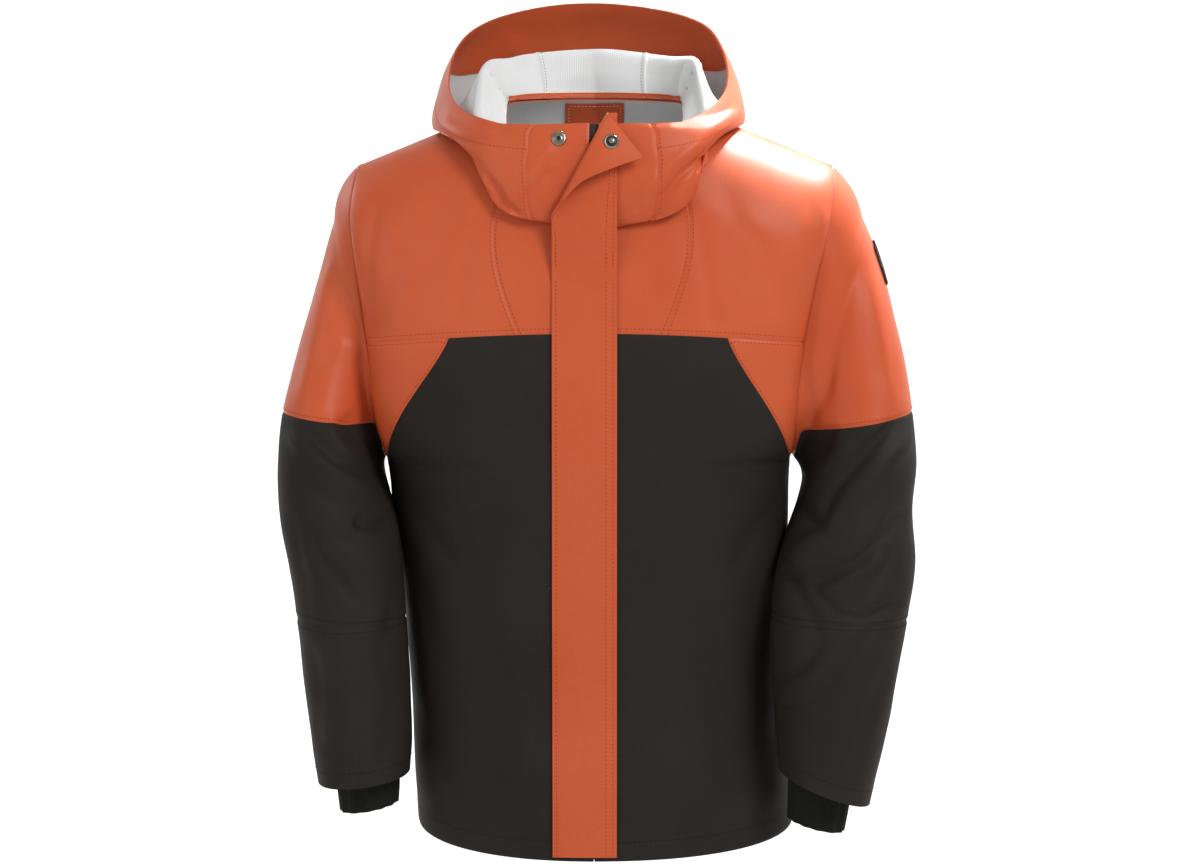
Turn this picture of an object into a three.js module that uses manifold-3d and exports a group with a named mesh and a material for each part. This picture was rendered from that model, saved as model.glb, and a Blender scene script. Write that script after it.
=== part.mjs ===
// A hooded raincoat of coated cloth, filled out as if worn, with nothing inside it.
// Millimetres. +Z is up, the front faces -Y, and +X is the wearer's left.
// The origin is the point between the shoulders that the wearer's neck and shoulders carry.
// Names ending in _r are on the wearer's right, and names ending in _l on the wearer's left.
import * as THREE from "three";
import { mergeVertices } from "three/addons/utils/BufferGeometryUtils.js";
import Module from "manifold-3d";

const wasm = await Module();
wasm.setup();

// Driving sizes
const CLOTH = 1.6; // thickness of the coated cloth
const SEAM_GAP = 0.3; // clearance between neighbouring pieces
const CENTRE_X = -2; // centre front, where the zip runs
const HEM_Z = -716; // hem at the sides and the back
const HEM_DROP = 15; // how much lower the hem hangs at centre front
const UNDERARM_Z = -328; // lowest point of the armhole
const ARMHOLE_REACH = 75; // armhole from the shoulder line to its front and back edges
const ARMHOLE_ROUND = 70; // height of the rounded lower end of the armhole
const SHOULDER_HALF = 254; // centre front to the shoulder tip
const SHOULDER_FALL = 0.4; // drop of the shoulder line for each millimetre outwards
const SHOULDER_ROUND = 100; // height over which the shoulder rounds forwards and back
const NECK_HALF = 94; // half width of the neckline on the shoulder line
const NECK_Z = 36; // height of the neckline at the shoulder line
const NECK_FRONT_Z = -95; // neckline at centre front
const NECK_BACK_Z = 42; // neckline at centre back
const CHEST_SEAM_Z = -195; // seam under the yoke at centre front
const CHEST_SEAM_FALL = 12; // how much lower that seam ends at the armhole
const GUSSET_TIP_Z = -352; // lower tip of the underarm gusset, on the side seam

// Shares of the way round from centre front (0) to the side seam (1)
const INSERT_SEAM = 0.21; // seam beside the front insert, on the chest seam
const INSERT_BOW = 0.055; // how far that seam bows outwards halfway up
const INSERT_TOP = 0.2146; // where that seam meets the neckline
const GUSSET_START = 0.43; // inner top corner of the underarm gusset
const NECK_SHARE = (Math.asin(NECK_HALF / SHOULDER_HALF) * 2) / Math.PI;

// The body's level sections: half widths to the wearer's right and left of the centre front,
// depth in front of and behind the shoulder line, and how square the section's corner is.
const BODY_SECTIONS = [
  { z: -716, right: 187, left: 211, front: 140, back: 124, square: 2.25 },
  { z: -660, right: 190, left: 207, front: 141, back: 124, square: 2.2 },
  { z: -600, right: 192, left: 203, front: 141, back: 124, square: 2.15 },
  { z: -520, right: 197, left: 202, front: 141, back: 124, square: 2.1 },
  { z: -440, right: 205, left: 203, front: 140, back: 125, square: 2.1 },
  { z: -390, right: 211, left: 204, front: 139, back: 126, square: 2.2 },
  { z: -352, right: 214, left: 204, front: 138, back: 127, square: 2.4 },
  { z: -328, right: 217, left: 205, front: 138, back: 127, square: 2.6 },
  { z: -280, right: 224, left: 207, front: 137, back: 126, square: 2.7 },
  { z: -220, right: 230, left: 211, front: 135, back: 124, square: 2.8 },
  { z: -158, right: 238, left: 222, front: 129, back: 119, square: 2.8 },
  { z: -80, right: 248, left: 240, front: 116, back: 112, square: 2.8 },
  { z: -33, right: 245, left: 247, front: 110, back: 106, square: 2.8 },
  { z: 60, right: 242, left: 246, front: 104, back: 102, square: 2.8 },
];

// The sleeves' sections below the armhole: the outer and inner edge as seen from the front,
// how far forward the section's middle lies, and its half depth.
const SLEEVE_SECTIONS = {
  r: [
    { outX: -272, outZ: -85, inX: -221, inZ: -333, y: -2, depth: 74 },
    { outX: -287, outZ: -140, inX: -222, inZ: -340, y: -9, depth: 77 },
    { outX: -302, outZ: -195, inX: -220, inZ: -349, y: -20, depth: 80 },
    { outX: -315, outZ: -243, inX: -216, inZ: -360, y: -34, depth: 81 },
    { outX: -324, outZ: -290, inX: -210, inZ: -375, y: -48, depth: 81 },
    { outX: -327, outZ: -340, inX: -204, inZ: -398, y: -58, depth: 80 },
    { outX: -324, outZ: -390, inX: -200, inZ: -428, y: -63, depth: 78 },
    { outX: -316, outZ: -440, inX: -197, inZ: -464, y: -65, depth: 75 },
    { outX: -307, outZ: -508, inX: -195, inZ: -503, y: -66, depth: 72 },
    { outX: -300, outZ: -570, inX: -192, inZ: -560, y: -67, depth: 69 },
    { outX: -294, outZ: -620, inX: -191, inZ: -610, y: -68, depth: 66 },
    { outX: -288, outZ: -663, inX: -193, inZ: -652, y: -69, depth: 62 },
  ],
  l: [
    { outX: 277, outZ: -82, inX: 208, inZ: -333, y: -2, depth: 74 },
    { outX: 296, outZ: -130, inX: 212, inZ: -338, y: -5, depth: 77 },
    { outX: 309, outZ: -180, inX: 215, inZ: -344, y: -9, depth: 80 },
    { outX: 321, outZ: -232, inX: 216, inZ: -352, y: -16, depth: 81 },
    { outX: 328, outZ: -283, inX: 214, inZ: -362, y: -26, depth: 81 },
    { outX: 331, outZ: -332, inX: 207, inZ: -382, y: -38, depth: 80 },
    { outX: 326, outZ: -380, inX: 196, inZ: -408, y: -52, depth: 79 },
    { outX: 328, outZ: -430, inX: 185, inZ: -440, y: -72, depth: 70 },
    { outX: 319, outZ: -484, inX: 179, inZ: -480, y: -88, depth: 66 },
    { outX: 313, outZ: -519, inX: 178, inZ: -512, y: -94, depth: 65 },
    { outX: 303, outZ: -570, inX: 179, inZ: -555, y: -99, depth: 64 },
    { outX: 294, outZ: -620, inX: 183, inZ: -600, y: -101, depth: 63 },
    { outX: 281, outZ: -678, inX: 187, inZ: -643, y: -101, depth: 62 },
  ],
};
const SLEEVE_HEAD = { r: 6, l: 4 }; // how far the sleeve's head stands out over the shoulder tip
const ELBOW_SECTION = { r: 9, l: 10 }; // the elbow seam lies on this section, the armhole being 0
const CUFF_TOP = { r: 10.9, l: 11.9 }; // the inner cuff is sewn in at this section
const COLOUR_SEAM = {
  // level of the seam between the sleeve's upper and lower cloth, at its outer edge and per mm inwards
  r: { x: -319, z: -280, fall: 0.13 },
  l: { x: 328, z: -281, fall: 0.17 },
};

// Sections of the knitted inner cuffs, below the place where they are sewn in.
const CUFF_SECTIONS = {
  r: [
    { outX: -272, outZ: -645, inX: -205, inZ: -637, y: -68, depth: 40 },
    { outX: -268, outZ: -670, inX: -204, inZ: -661, y: -69, depth: 36 },
    { outX: -265, outZ: -693, inX: -205, inZ: -683, y: -71, depth: 35 },
  ],
  l: [
    { outX: 263, outZ: -651, inX: 197, inZ: -632, y: -100, depth: 40 },
    { outX: 259, outZ: -680, inX: 197, inZ: -662, y: -102, depth: 36 },
    { outX: 254, outZ: -706, inX: 196, inZ: -692, y: -104, depth: 35 },
  ],
};

// The hood's rings from the neckline to the rim, as points [x, y, z] at the back, half way to
// the side, the side, half way to the front and the front; x counts outwards from HOOD_X.
// The hood is pushed back off the head: it stands up behind the neck, folds over, hangs down
// as a bag and rises again to its rim. The first ring is the neckline and needs no row.
const HOOD_X = -7;
const HOOD_RINGS = [
  { name: "neck wall", at: [[0, 80, 70], [72, 50, 66], [105, -6, 58], [95, -121, -66], [0, -125, -82]] },
  { name: "fold", at: [[0, 96, 94], [86, 68, 91], [118, -12, 77], [103, -124, -52], [0, -131, -64]] },
  { name: "inside fold", at: [[0, 113, 62], [97, 80, 64], [124, -14, 64], [105, -123, -42], [0, -132, -48]] },
  { name: "near wall", at: [[0, 120, -10], [107, 92, 24], [130, -16, 38], [106, -121, -30], [0, -132, -34]] },
  { name: "bag bottom", at: [[0, 143, -66], [122, 108, -4], [151, -17, 20], [109, -119, -17], [0, -131, -22]] },
  { name: "lower back", at: [[0, 177, -48], [138, 124, 2], [160, -17, 11], [107, -117, -6], [0, -129, -11]] },
  { name: "back", at: [[0, 192, 30], [142, 126, 42], [161, -17, 22], [107, -114, 3], [0, -127, -1]] },
  { name: "upper back", at: [[0, 175, 105], [133, 113, 92], [154, -17, 40], [104, -111, 11], [0, -124, 7]] },
  { name: "rim", at: [[0, 150, 147], [121, 100, 121], [145, -17, 54], [97, -107, 17], [0, -121, 14]] },
];
const HOOD_LEFT_SHRINK = 0.015; // the wearer's left side of the hood's outer rings lies closer in
const HOOD_TILT = 0.02; // rise of the outer rings per millimetre towards the wearer's left
const HOOD_FRONT_GAP = 0.035; // radians from the front plane to each front edge of the collar
const HOOD_CENTRE_HALF = 56; // half width of the hood's centre panel
const HOOD_LIFT = 1.7; // the hood's seam edge stands this far off the neckline
const COLLAR_SEAM = 0.44; // radians from the front plane to the seam beside the collar's snap

// The storm flap over the zip: left and right edges and ends, and how far forward its face lies
// down the front. Its top corner is folded open about a slanting line that starts on the left edge.
const FLAP = { left: -44, right: 21, top: 24, bottom: -726, cloth: 2.2, columns: 6 };
const FLAP_LINE = [
  { z: 24, y: -125 },
  { z: -6, y: -132.6 },
  { z: -36, y: -137 },
  { z: -66, y: -136 },
  { z: -96, y: -133.5 },
  { z: -126, y: -131 },
];
const FLAP_JOIN = [-150, -118]; // below the first height the flap follows the body
const FLAP_LIFT = 0.9; // clearance under the flap
// The fold is a roll whose radius shrinks from its start to the flap's top edge.
const FLAP_FOLD = { start: -91, run: 0.459, rise: 0.8884, radius: 5.4, topRadius: 2.6, length: 125 };

// The zip behind the flap, and the two halves of the snap that would close the folded corner
const ZIP = { tape: 13, tapeCloth: 0.8, half: 2.8, deep: 1.7, raise: 0.2, fromHem: 8 };
const SLIDER = { half: 3.1, high: 12, deep: 2.4, raise: 0.9, z: -10 };
const SNAP = { radius: 7.5, high: 1.8, inner: 3.2, post: 1.6 };
const SNAP_SOCKET = { turn: -(Math.PI - 0.24), ring: 6.95 }; // on the hood's rings
const SNAP_STUD = { x: -18.5, z: 10 }; // on the flap laid out flat

// The largest folds of the cloth, as straight troughs (depth above 0) or ridges (below 0)
// seen from the front or back, from one end to the other, with their half widths.
const FOLDS = [
  { on: "sleeve", side: -1, x1: -300, z1: -395, x2: -215, z2: -440, half: 16, depth: 7 },
  { on: "sleeve", side: -1, x1: -285, z1: -470, x2: -212, z2: -520, half: 14, depth: 5 },
  { on: "sleeve", side: -1, x1: 300, z1: -352, x2: 215, z2: -398, half: 15, depth: 8 },
  { on: "sleeve", side: -1, x1: 300, z1: -420, x2: 205, z2: -452, half: 16, depth: 8 },
  { on: "sleeve", side: -1, x1: 240, z1: -492, x2: 300, z2: -500, half: 14, depth: 7 },
  { on: "sleeve", side: 1, x1: -300, z1: -380, x2: -225, z2: -430, half: 16, depth: 6 },
  { on: "sleeve", side: 1, x1: 300, z1: -380, x2: 225, z2: -430, half: 16, depth: 6 },
  { on: "body", side: 1, x1: -110, z1: -330, x2: -180, z2: -480, half: 30, depth: 5 },
  { on: "body", side: 1, x1: 110, z1: -330, x2: 180, z2: -480, half: 30, depth: 5 },
];

// Colours of the cloth and fittings
const COLOURS = {
  shell: { color: 0xc95a34, roughness: 0.42, metalness: 0 },
  dark: { color: 0x2d2a27, roughness: 0.5, metalness: 0 },
  knit: { color: 0x1a1b19, roughness: 0.9, metalness: 0 },
  tape: { color: 0x1c1c1e, roughness: 0.7, metalness: 0 },
  metal: { color: 0xc9c7c0, roughness: 0.25, metalness: 1 },
};

const smoothStep = (q) => q * q * (3 - 2 * q);
const clamp01 = (q) => Math.min(1, Math.max(0, q));
const mix = (a, b, q) => a + (b - a) * q;

// A smooth curve through evenly spaced values, read at position k.
function spline(values, k) {
  const last = values.length - 1;
  const i = Math.min(last - 1, Math.max(0, Math.floor(k)));
  const q = k - i;
  const p1 = values[i];
  const p2 = values[i + 1];
  const p0 = i > 0 ? values[i - 1] : 2 * p1 - p2;
  const p3 = i + 2 <= last ? values[i + 2] : 2 * p2 - p1;
  const turn = 2 * p0 - 5 * p1 + 4 * p2 - p3 + q * (3 * (p1 - p2) + p3 - p0);
  return p1 + 0.5 * q * (p2 - p0 + q * turn);
}

// A column of the body's section table at height z.
function bodyAt(column, z) {
  const rows = BODY_SECTIONS;
  let i = 0;
  while (i < rows.length - 2 && z > rows[i + 1].z) i += 1;
  const slope = (k) => {
    const a = rows[Math.max(0, k - 1)];
    const b = rows[Math.min(rows.length - 1, k + 1)];
    return (b[column] - a[column]) / (b.z - a.z);
  };
  const step = rows[i + 1].z - rows[i].z;
  const q = clamp01((z - rows[i].z) / step);
  const q2 = q * q;
  const q3 = q2 * q;
  return (
    (2 * q3 - 3 * q2 + 1) * rows[i][column] +
    (q3 - 2 * q2 + q) * step * slope(i) +
    (3 * q2 - 2 * q3) * rows[i + 1][column] +
    (q3 - q2) * step * slope(i + 1)
  );
}

const across = (share) => Math.sin((Math.abs(share) * Math.PI) / 2);
const shoulderZ = (share) => NECK_Z - SHOULDER_FALL * (SHOULDER_HALF * across(share) - NECK_HALF);

// Height of the neckline; front is -1 for the front and 1 for the back.
function necklineZ(front, share) {
  const q = Math.min(1, (SHOULDER_HALF * across(share)) / NECK_HALF);
  const low = front < 0 ? NECK_FRONT_Z : NECK_BACK_Z;
  return NECK_Z + (low - NECK_Z) * Math.sqrt(1 - q * q);
}

// How far the armhole's edge lies in front of or behind the shoulder line.
function armholeReach(z) {
  if (z <= UNDERARM_Z) return 0;
  const q = clamp01((UNDERARM_Z + ARMHOLE_ROUND - z) / ARMHOLE_ROUND);
  return ARMHOLE_REACH * Math.sqrt(1 - q * q);
}

// The body's outer surface: side is -1 for the front and 1 for the back; share runs from
// -1, the wearer's right side, to 1, the wearer's left side.
function body(side, share, z) {
  const t = across(share);
  const half = bodyAt(share < 0 ? "right" : "left", z);
  const square = bodyAt("square", z);
  const depth = bodyAt(side < 0 ? "front" : "back", z);
  const reach = armholeReach(z);
  const corner = Math.pow(Math.max(0, 1 - Math.pow(t, square)), 1 / square);
  const q = clamp01((shoulderZ(share) - z) / SHOULDER_ROUND);
  const round = Math.sqrt(1 - (1 - q) * (1 - q));
  const y = side * (reach + (depth - reach) * corner) * round;
  return new THREE.Vector3(CENTRE_X + Math.sign(share) * half * t, y, z);
}

const chestZ = (share) => CHEST_SEAM_Z - CHEST_SEAM_FALL * across(share) ** 2;
const hemZ = (side, share) => HEM_Z - (side < 0 ? HEM_DROP * Math.sqrt(1 - across(share) ** 2) : 0);

// Lower edge of the underarm gusset, a slanting curve from the chest seam to the side seam.
function gussetZ(share) {
  const q = clamp01((Math.abs(share) - GUSSET_START) / (1 - GUSSET_START));
  return mix(chestZ(share), GUSSET_TIP_Z, Math.pow(q, 0.8));
}

// How deep the folds press in at a point whose outward normal is known.
function foldDepth(folds, p, normal) {
  let sum = 0;
  for (const fold of folds) {
    const facing = smoothStep(clamp01(fold.side * normal.y * 1.6));
    if (facing === 0) continue;
    const dx = fold.x2 - fold.x1;
    const dz = fold.z2 - fold.z1;
    const along = ((p.x - fold.x1) * dx + (p.z - fold.z1) * dz) / (dx * dx + dz * dz);
    const near = clamp01(along);
    const off = Math.hypot(p.x - fold.x1 - near * dx, p.z - fold.z1 - near * dz) / fold.half;
    sum += fold.depth * facing * Math.exp(-off * off);
  }
  return sum;
}

// Evenly spaced shares from a to b.
const steps = (a, b, n) => Array.from({ length: n + 1 }, (_, i) => mix(a, b, i / n));

// A closed wall of cloth over a grid of shares. point(a, b) is the outer surface; a and b run
// over as and bs. Edges are drawn in by half the seam gap, or pushed out when grow is set.
function wall(point, as, bs, options = {}) {
  const { cloth = CLOTH, tube = false, grow = 0, depth = 0, folds } = options;
  const { lift = SEAM_GAP / 2, end = SEAM_GAP / 2, side = SEAM_GAP / 2 } = options;
  const na = tube ? as.length - 1 : as.length;
  const nb = bs.length;
  const tiny = 1e-3;
  const pushed = FOLDS.filter((fold) => fold.on === folds);
  const outer = [];
  const normals = [];
  for (let j = 0; j < nb; j += 1) {
    for (let i = 0; i < na; i += 1) {
      const a = as[i];
      const b = bs[j];
      const a0 = tube ? a - tiny : Math.max(as[0], a - tiny);
      const a1 = tube ? a + tiny : Math.min(as[as.length - 1], a + tiny);
      const alongA = point(a1, b).sub(point(a0, b));
      const alongB = point(a, Math.min(bs[nb - 1], b + tiny)).sub(point(a, Math.max(bs[0], b - tiny)));
      outer.push(point(a, b));
      normals.push(alongA.cross(alongB).normalize());
    }
  }
  const at = (i, j) => j * na + ((i + na) % na);
  outer.forEach((p, k) => p.addScaledVector(normals[k], -foldDepth(pushed, p, normals[k])));
  // Edges move along the surface towards their neighbours, or away from them.
  const shift = grow ? -grow : SEAM_GAP / 2;
  const moved = outer.map((p) => p.clone());
  const draw = (k, next, far = shift) => {
    const way = outer[next].clone().sub(outer[k]);
    if (way.length() > 1e-6) moved[k].addScaledVector(way.normalize(), far);
  };
  for (let i = 0; i < na; i += 1) {
    draw(at(i, 0), at(i, 1), grow ? shift : lift);
    draw(at(i, nb - 1), at(i, nb - 2), grow ? shift : end);
  }
  if (!tube) {
    for (let j = 0; j < nb; j += 1) {
      draw(at(0, j), at(1, j), grow ? shift : side);
      draw(at(na - 1, j), at(na - 2, j), grow ? shift : side);
    }
  }
  const count = na * nb;
  const position = new Float32Array(count * 6);
  moved.forEach((p, k) => {
    p.clone().addScaledVector(normals[k], grow - depth).toArray(position, k * 3);
    p.clone().addScaledVector(normals[k], -cloth - grow - depth).toArray(position, (count + k) * 3);
  });
  const index = [];
  const quad = (a, b, c, d) => index.push(a, b, c, a, c, d);
  const spansA = tube ? na : na - 1;
  for (let j = 0; j < nb - 1; j += 1) {
    for (let i = 0; i < spansA; i += 1) {
      const [p, q, r, s] = [at(i, j), at(i + 1, j), at(i + 1, j + 1), at(i, j + 1)];
      quad(p, q, r, s);
      quad(count + p, count + s, count + r, count + q);
    }
  }
  for (let i = 0; i < spansA; i += 1) {
    quad(at(i + 1, 0), at(i, 0), count + at(i, 0), count + at(i + 1, 0));
    const top = nb - 1;
    quad(at(i, top), at(i + 1, top), count + at(i + 1, top), count + at(i, top));
  }
  if (!tube) {
    for (let j = 0; j < nb - 1; j += 1) {
      quad(at(0, j), at(0, j + 1), count + at(0, j + 1), count + at(0, j));
      const end = na - 1;
      quad(at(end, j + 1), at(end, j), count + at(end, j), count + at(end, j + 1));
    }
  }
  const geometry = new THREE.BufferGeometry();
  geometry.setAttribute("position", new THREE.BufferAttribute(position, 3));
  geometry.setIndex(index);
  return geometry;
}

// Geometry to solid and back
function solid(geometry) {
  const bare = geometry.clone();
  bare.deleteAttribute("normal");
  bare.deleteAttribute("uv");
  const merged = mergeVertices(bare, 1e-4);
  const triVerts = new Uint32Array(merged.index.array);
  const vertProperties = new Float32Array(merged.attributes.position.array);
  const made = new wasm.Manifold(new wasm.Mesh({ numProp: 3, vertProperties, triVerts }));
  if (made.volume() > 0) return made;
  for (let i = 0; i < triVerts.length; i += 3) {
    [triVerts[i + 1], triVerts[i + 2]] = [triVerts[i + 2], triVerts[i + 1]];
  }
  return new wasm.Manifold(new wasm.Mesh({ numProp: 3, vertProperties, triVerts }));
}

function geometryOf(shape) {
  const mesh = shape.getMesh();
  const geometry = new THREE.BufferGeometry();
  geometry.setAttribute("position", new THREE.BufferAttribute(new Float32Array(mesh.vertProperties), 3));
  geometry.setIndex(new THREE.BufferAttribute(new Uint32Array(mesh.triVerts), 1));
  return geometry;
}

const largest = (shape) => shape.decompose().reduce((a, b) => (b.volume() > a.volume() ? b : a));
const cut = (shape, tools) => {
  const left = tools.reduce((whole, tool) => whole.subtract(tool), shape);
  return largest(left.simplify(0.02));
};

const coat = new THREE.Group();

function place(name, shape, finish) {
  const geometry = shape.isBufferGeometry ? shape : geometryOf(shape);
  const mesh = new THREE.Mesh(geometry, new THREE.MeshStandardMaterial(COLOURS[finish]));
  mesh.name = name;
  coat.add(mesh);
  return mesh;
}

// Columns and rows that neighbouring panels share, so that their edges meet point for point.
const INSERT_COLUMNS = 6;
const YOKE_INNER_COLUMNS = 2;
const YOKE_OUTER_COLUMNS = 6;
const CHEST_ROWS = 10;
const GUSSET_ROWS = 5;
const LOWER_ROWS = 9;
const GUSSET_TIP = 0.012; // share that the gusset's sharp inner corner is cut back by
const insertShares = steps(0, 1, INSERT_COLUMNS).map((q) => INSERT_SEAM * Math.sin((q * Math.PI) / 2));
const gussetShares = [GUSSET_START + GUSSET_TIP, ...steps(GUSSET_START, 1, YOKE_OUTER_COLUMNS).slice(1)];
const outerShares = [...steps(INSERT_SEAM, GUSSET_START, YOKE_INNER_COLUMNS), ...gussetShares];
// Two more columns of the front yoke end on the neckline, the second at the neck point.
const neckColumn = (q) => mix(INSERT_SEAM, 1, (q * (NECK_SHARE - INSERT_TOP)) / (1 - INSERT_TOP));
const yokeShares = [INSERT_SEAM, neckColumn(0.5), neckColumn(1), ...outerShares.slice(1)];
const rising = (b) => Math.sin((b * Math.PI) / 2); // rows crowd towards the shoulder line

const insertSeam = (b) => mix(INSERT_SEAM, INSERT_TOP, b) + INSERT_BOW * Math.sin(Math.PI * b);
const yokeTop = (side, share) =>
  Math.abs(share) < NECK_SHARE ? necklineZ(side, share) : shoulderZ(share);
const ZIP_EDGE = 0.012; // share at which the front edges stop beside the zip

// Front and back panels as point functions of a column share and a row share.
function frontPanels(sign) {
  const lower = (a, b) => {
    const share = Math.max(ZIP_EDGE, Math.abs(a)) * sign;
    return body(-1, share, mix(hemZ(-1, share), gussetZ(share), b));
  };
  const gusset = (a, b) => {
    const share = a * sign;
    return body(-1, share, mix(gussetZ(share) + 0.5, chestZ(share), b));
  };
  const yoke = (a, b) => {
    const q = (a - INSERT_SEAM) / (1 - INSERT_SEAM);
    const share = mix(insertSeam(b), 1, q) * sign;
    return body(-1, share, mix(chestZ(a), yokeTop(-1, mix(INSERT_TOP, 1, q)), rising(b)));
  };
  const insert = (a, b) => {
    const q = a / INSERT_SEAM;
    const share = Math.max(ZIP_EDGE, insertSeam(b) * q) * sign;
    return body(-1, share, mix(chestZ(a), necklineZ(-1, insertSeam(1) * q), rising(b)));
  };
  return { lower, gusset, yoke, insert };
}

// A grid runs anticlockwise seen from outside, so columns on the wearer's right run backwards.
const mirrored = (f) => (a, b) => f(-a, b);
const backwards = (shares) => shares.map((s) => -s).reverse();

function frontPiece(point, shares, rows, sign, grow) {
  const list = shares[0] === 0 ? [ZIP_EDGE, ...shares.slice(1)] : shares;
  const f = sign < 0 ? mirrored(point) : point;
  const as = sign < 0 ? backwards(list) : list;
  return wall(f, as, steps(0, 1, rows), { grow, end: SEAM_GAP, folds: "body" });
}

const frontSolids = {};
for (const sign of [-1, 1]) {
  const tag = sign < 0 ? "r" : "l";
  const f = frontPanels(sign);
  const full = [...insertShares, ...yokeShares.slice(1)];
  const pieces = {
    front_body: [f.lower, full, LOWER_ROWS, "dark"],
    gusset: [f.gusset, gussetShares, GUSSET_ROWS, "shell"],
    yoke: [f.yoke, yokeShares, CHEST_ROWS, "shell"],
    insert: [f.insert, insertShares, CHEST_ROWS, "shell"],
  };
  for (const [name, [point, shares, rows, finish]] of Object.entries(pieces)) {
    place(`${name}_${tag}`, frontPiece(point, shares, rows, sign, 0), finish);
    frontSolids[`${name}_${tag}`] = solid(frontPiece(point, shares, rows, sign, SEAM_GAP));
  }
}

// The back is one lower panel and one yoke, from side seam to side seam.
const neckShares = steps(-1, 1, 6);
const shoulderQ = outerShares.map((s) => (s - INSERT_SEAM) / (1 - INSERT_SEAM));
const backColumns = [
  ...shoulderQ.map((q) => -1 - q).reverse(),
  ...neckShares.slice(1, -1),
  ...shoulderQ.map((q) => 1 + q),
];
const backShare = (a, inner) =>
  Math.abs(a) <= 1 ? a * inner : Math.sign(a) * mix(inner, 1, Math.abs(a) - 1);

function backLower(a, b) {
  const share = backShare(a, INSERT_SEAM);
  const lowerPart = LOWER_ROWS / (LOWER_ROWS + GUSSET_ROWS);
  const z =
    b < lowerPart
      ? mix(hemZ(1, share), GUSSET_TIP_Z, b / lowerPart)
      : mix(GUSSET_TIP_Z, chestZ(share), (b - lowerPart) / (1 - lowerPart));
  return body(1, share, z);
}

function backYoke(a, b) {
  const share = backShare(a, mix(INSERT_SEAM, NECK_SHARE, b));
  const top = yokeTop(1, backShare(a, NECK_SHARE));
  return body(1, share, mix(chestZ(backShare(a, INSERT_SEAM)), top, rising(b)));
}

const backwardsPoint = (f) => (a, b) => f(-a, b);
const backPieces = {
  back_body: [backLower, LOWER_ROWS + GUSSET_ROWS, "dark"],
  back_yoke: [backYoke, CHEST_ROWS, "shell"],
};
for (const [name, [point, rows, finish]] of Object.entries(backPieces)) {
  const as = backwards(backColumns);
  const make = (grow) => wall(backwardsPoint(point), as, steps(0, 1, rows), { grow, folds: "body" });
  place(name, make(0), finish);
  frontSolids[name] = solid(make(SEAM_GAP));
}

// Sleeves: the first ring is the armhole, and the rest are ovals from the section table.
function armholePoint(tag, turn) {
  const sign = tag === "r" ? -1 : 1;
  const top = shoulderZ(1);
  const z = mix(UNDERARM_Z, top, (1 + Math.cos(turn)) / 2);
  return body(Math.sin(turn) > 0 ? -1 : 1, sign, z);
}

function ovalPoint(s, turn) {
  const q = (1 + Math.cos(turn)) / 2;
  const y = s.y - s.depth * Math.sin(turn);
  return new THREE.Vector3(mix(s.inX, s.outX, q), y, mix(s.inZ, s.outZ, q));
}

function sleevePoint(tag, turn, along) {
  const ring = [armholePoint(tag, turn), ...SLEEVE_SECTIONS[tag].map((s) => ovalPoint(s, turn))];
  const way = tag === "r" ? -1 : 1;
  const head = SLEEVE_HEAD[tag] * Math.sin(Math.PI * Math.min(1, along)) * Math.max(0, Math.cos(turn)) ** 2;
  return new THREE.Vector3(
    spline(ring.map((p) => p.x), along) + way * head,
    spline(ring.map((p) => p.y), along),
    spline(ring.map((p) => p.z), along) + 0.7 * head,
  );
}

const SLEEVE_COLUMNS = 20;
const PATCH_TO = 2.4; // the arm patch reaches from section 1.5 to this one
const sleeveTurns = steps(0, 2 * Math.PI, SLEEVE_COLUMNS);

// Everything below the slanting level of the colour seam, as one big block.
function belowColourSeam(tag, raise) {
  const seam = COLOUR_SEAM[tag];
  const size = 600;
  const block = new THREE.BoxGeometry(size, size, size);
  const way = Math.sign(seam.x);
  block.translate(0, 0, -size / 2 + raise);
  block.rotateY(-way * Math.atan(seam.fall));
  block.translate(seam.x, 0, seam.z);
  return solid(block);
}

for (const tag of ["r", "l"]) {
  const sections = SLEEVE_SECTIONS[tag].length;
  const elbow = ELBOW_SECTION[tag];
  const way = tag === "r" ? -1 : 1;
  const point = (turn, along) => sleevePoint(tag, way * turn, along);
  const make = (rows) => wall(point, sleeveTurns, rows, { tube: true, folds: "sleeve" });
  const armholeTools = Object.entries(frontSolids)
    .filter(([name]) => !name.startsWith("insert") && (name.endsWith(`_${tag}`) || name.startsWith("back")))
    .map(([, shape]) => shape);
  const upper = solid(make([0, 0.5, 1, 1.5, 2, PATCH_TO, ...steps(3, elbow, elbow - 3)]));
  const lowerBlock = belowColourSeam(tag, -SEAM_GAP / 2);
  const upperBlock = belowColourSeam(tag, SEAM_GAP / 2);
  place(`sleeve_upper_${tag}`, cut(upper.subtract(upperBlock), armholeTools), "shell");
  place(`sleeve_lower_${tag}`, cut(upper.intersect(lowerBlock), armholeTools), "dark");
  const forearmRows = steps(elbow, sections, sections - elbow + 1);
  place(`forearm_${tag}`, make(forearmRows), "dark");

  // The inner cuff is sewn in above the sleeve's hem and narrows to the wrist.
  const inner = CLOTH + SEAM_GAP;
  const start = CUFF_TOP[tag];
  const cuffPoint = (turn, along) => {
    const sewn = [start, start + 0.25].map((k) => {
      const p = point(turn, k);
      const middle = point(0, k).add(point(Math.PI, k)).multiplyScalar(0.5);
      return p.sub(middle).multiplyScalar(1 - inner / 46).add(middle);
    });
    const ring = [...sewn, ...CUFF_SECTIONS[tag].map((s) => ovalPoint(s, way * turn))];
    return new THREE.Vector3(
      spline(ring.map((p) => p.x), along),
      spline(ring.map((p) => p.y), along),
      spline(ring.map((p) => p.z), along),
    );
  };
  const cuffRows = [0, 1, 1.5, 2, 3, 4];
  const cuff = wall(cuffPoint, sleeveTurns, cuffRows, { tube: true, cloth: 2.2 });
  place(`inner_cuff_${tag}`, cuff, "knit");
}

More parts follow.
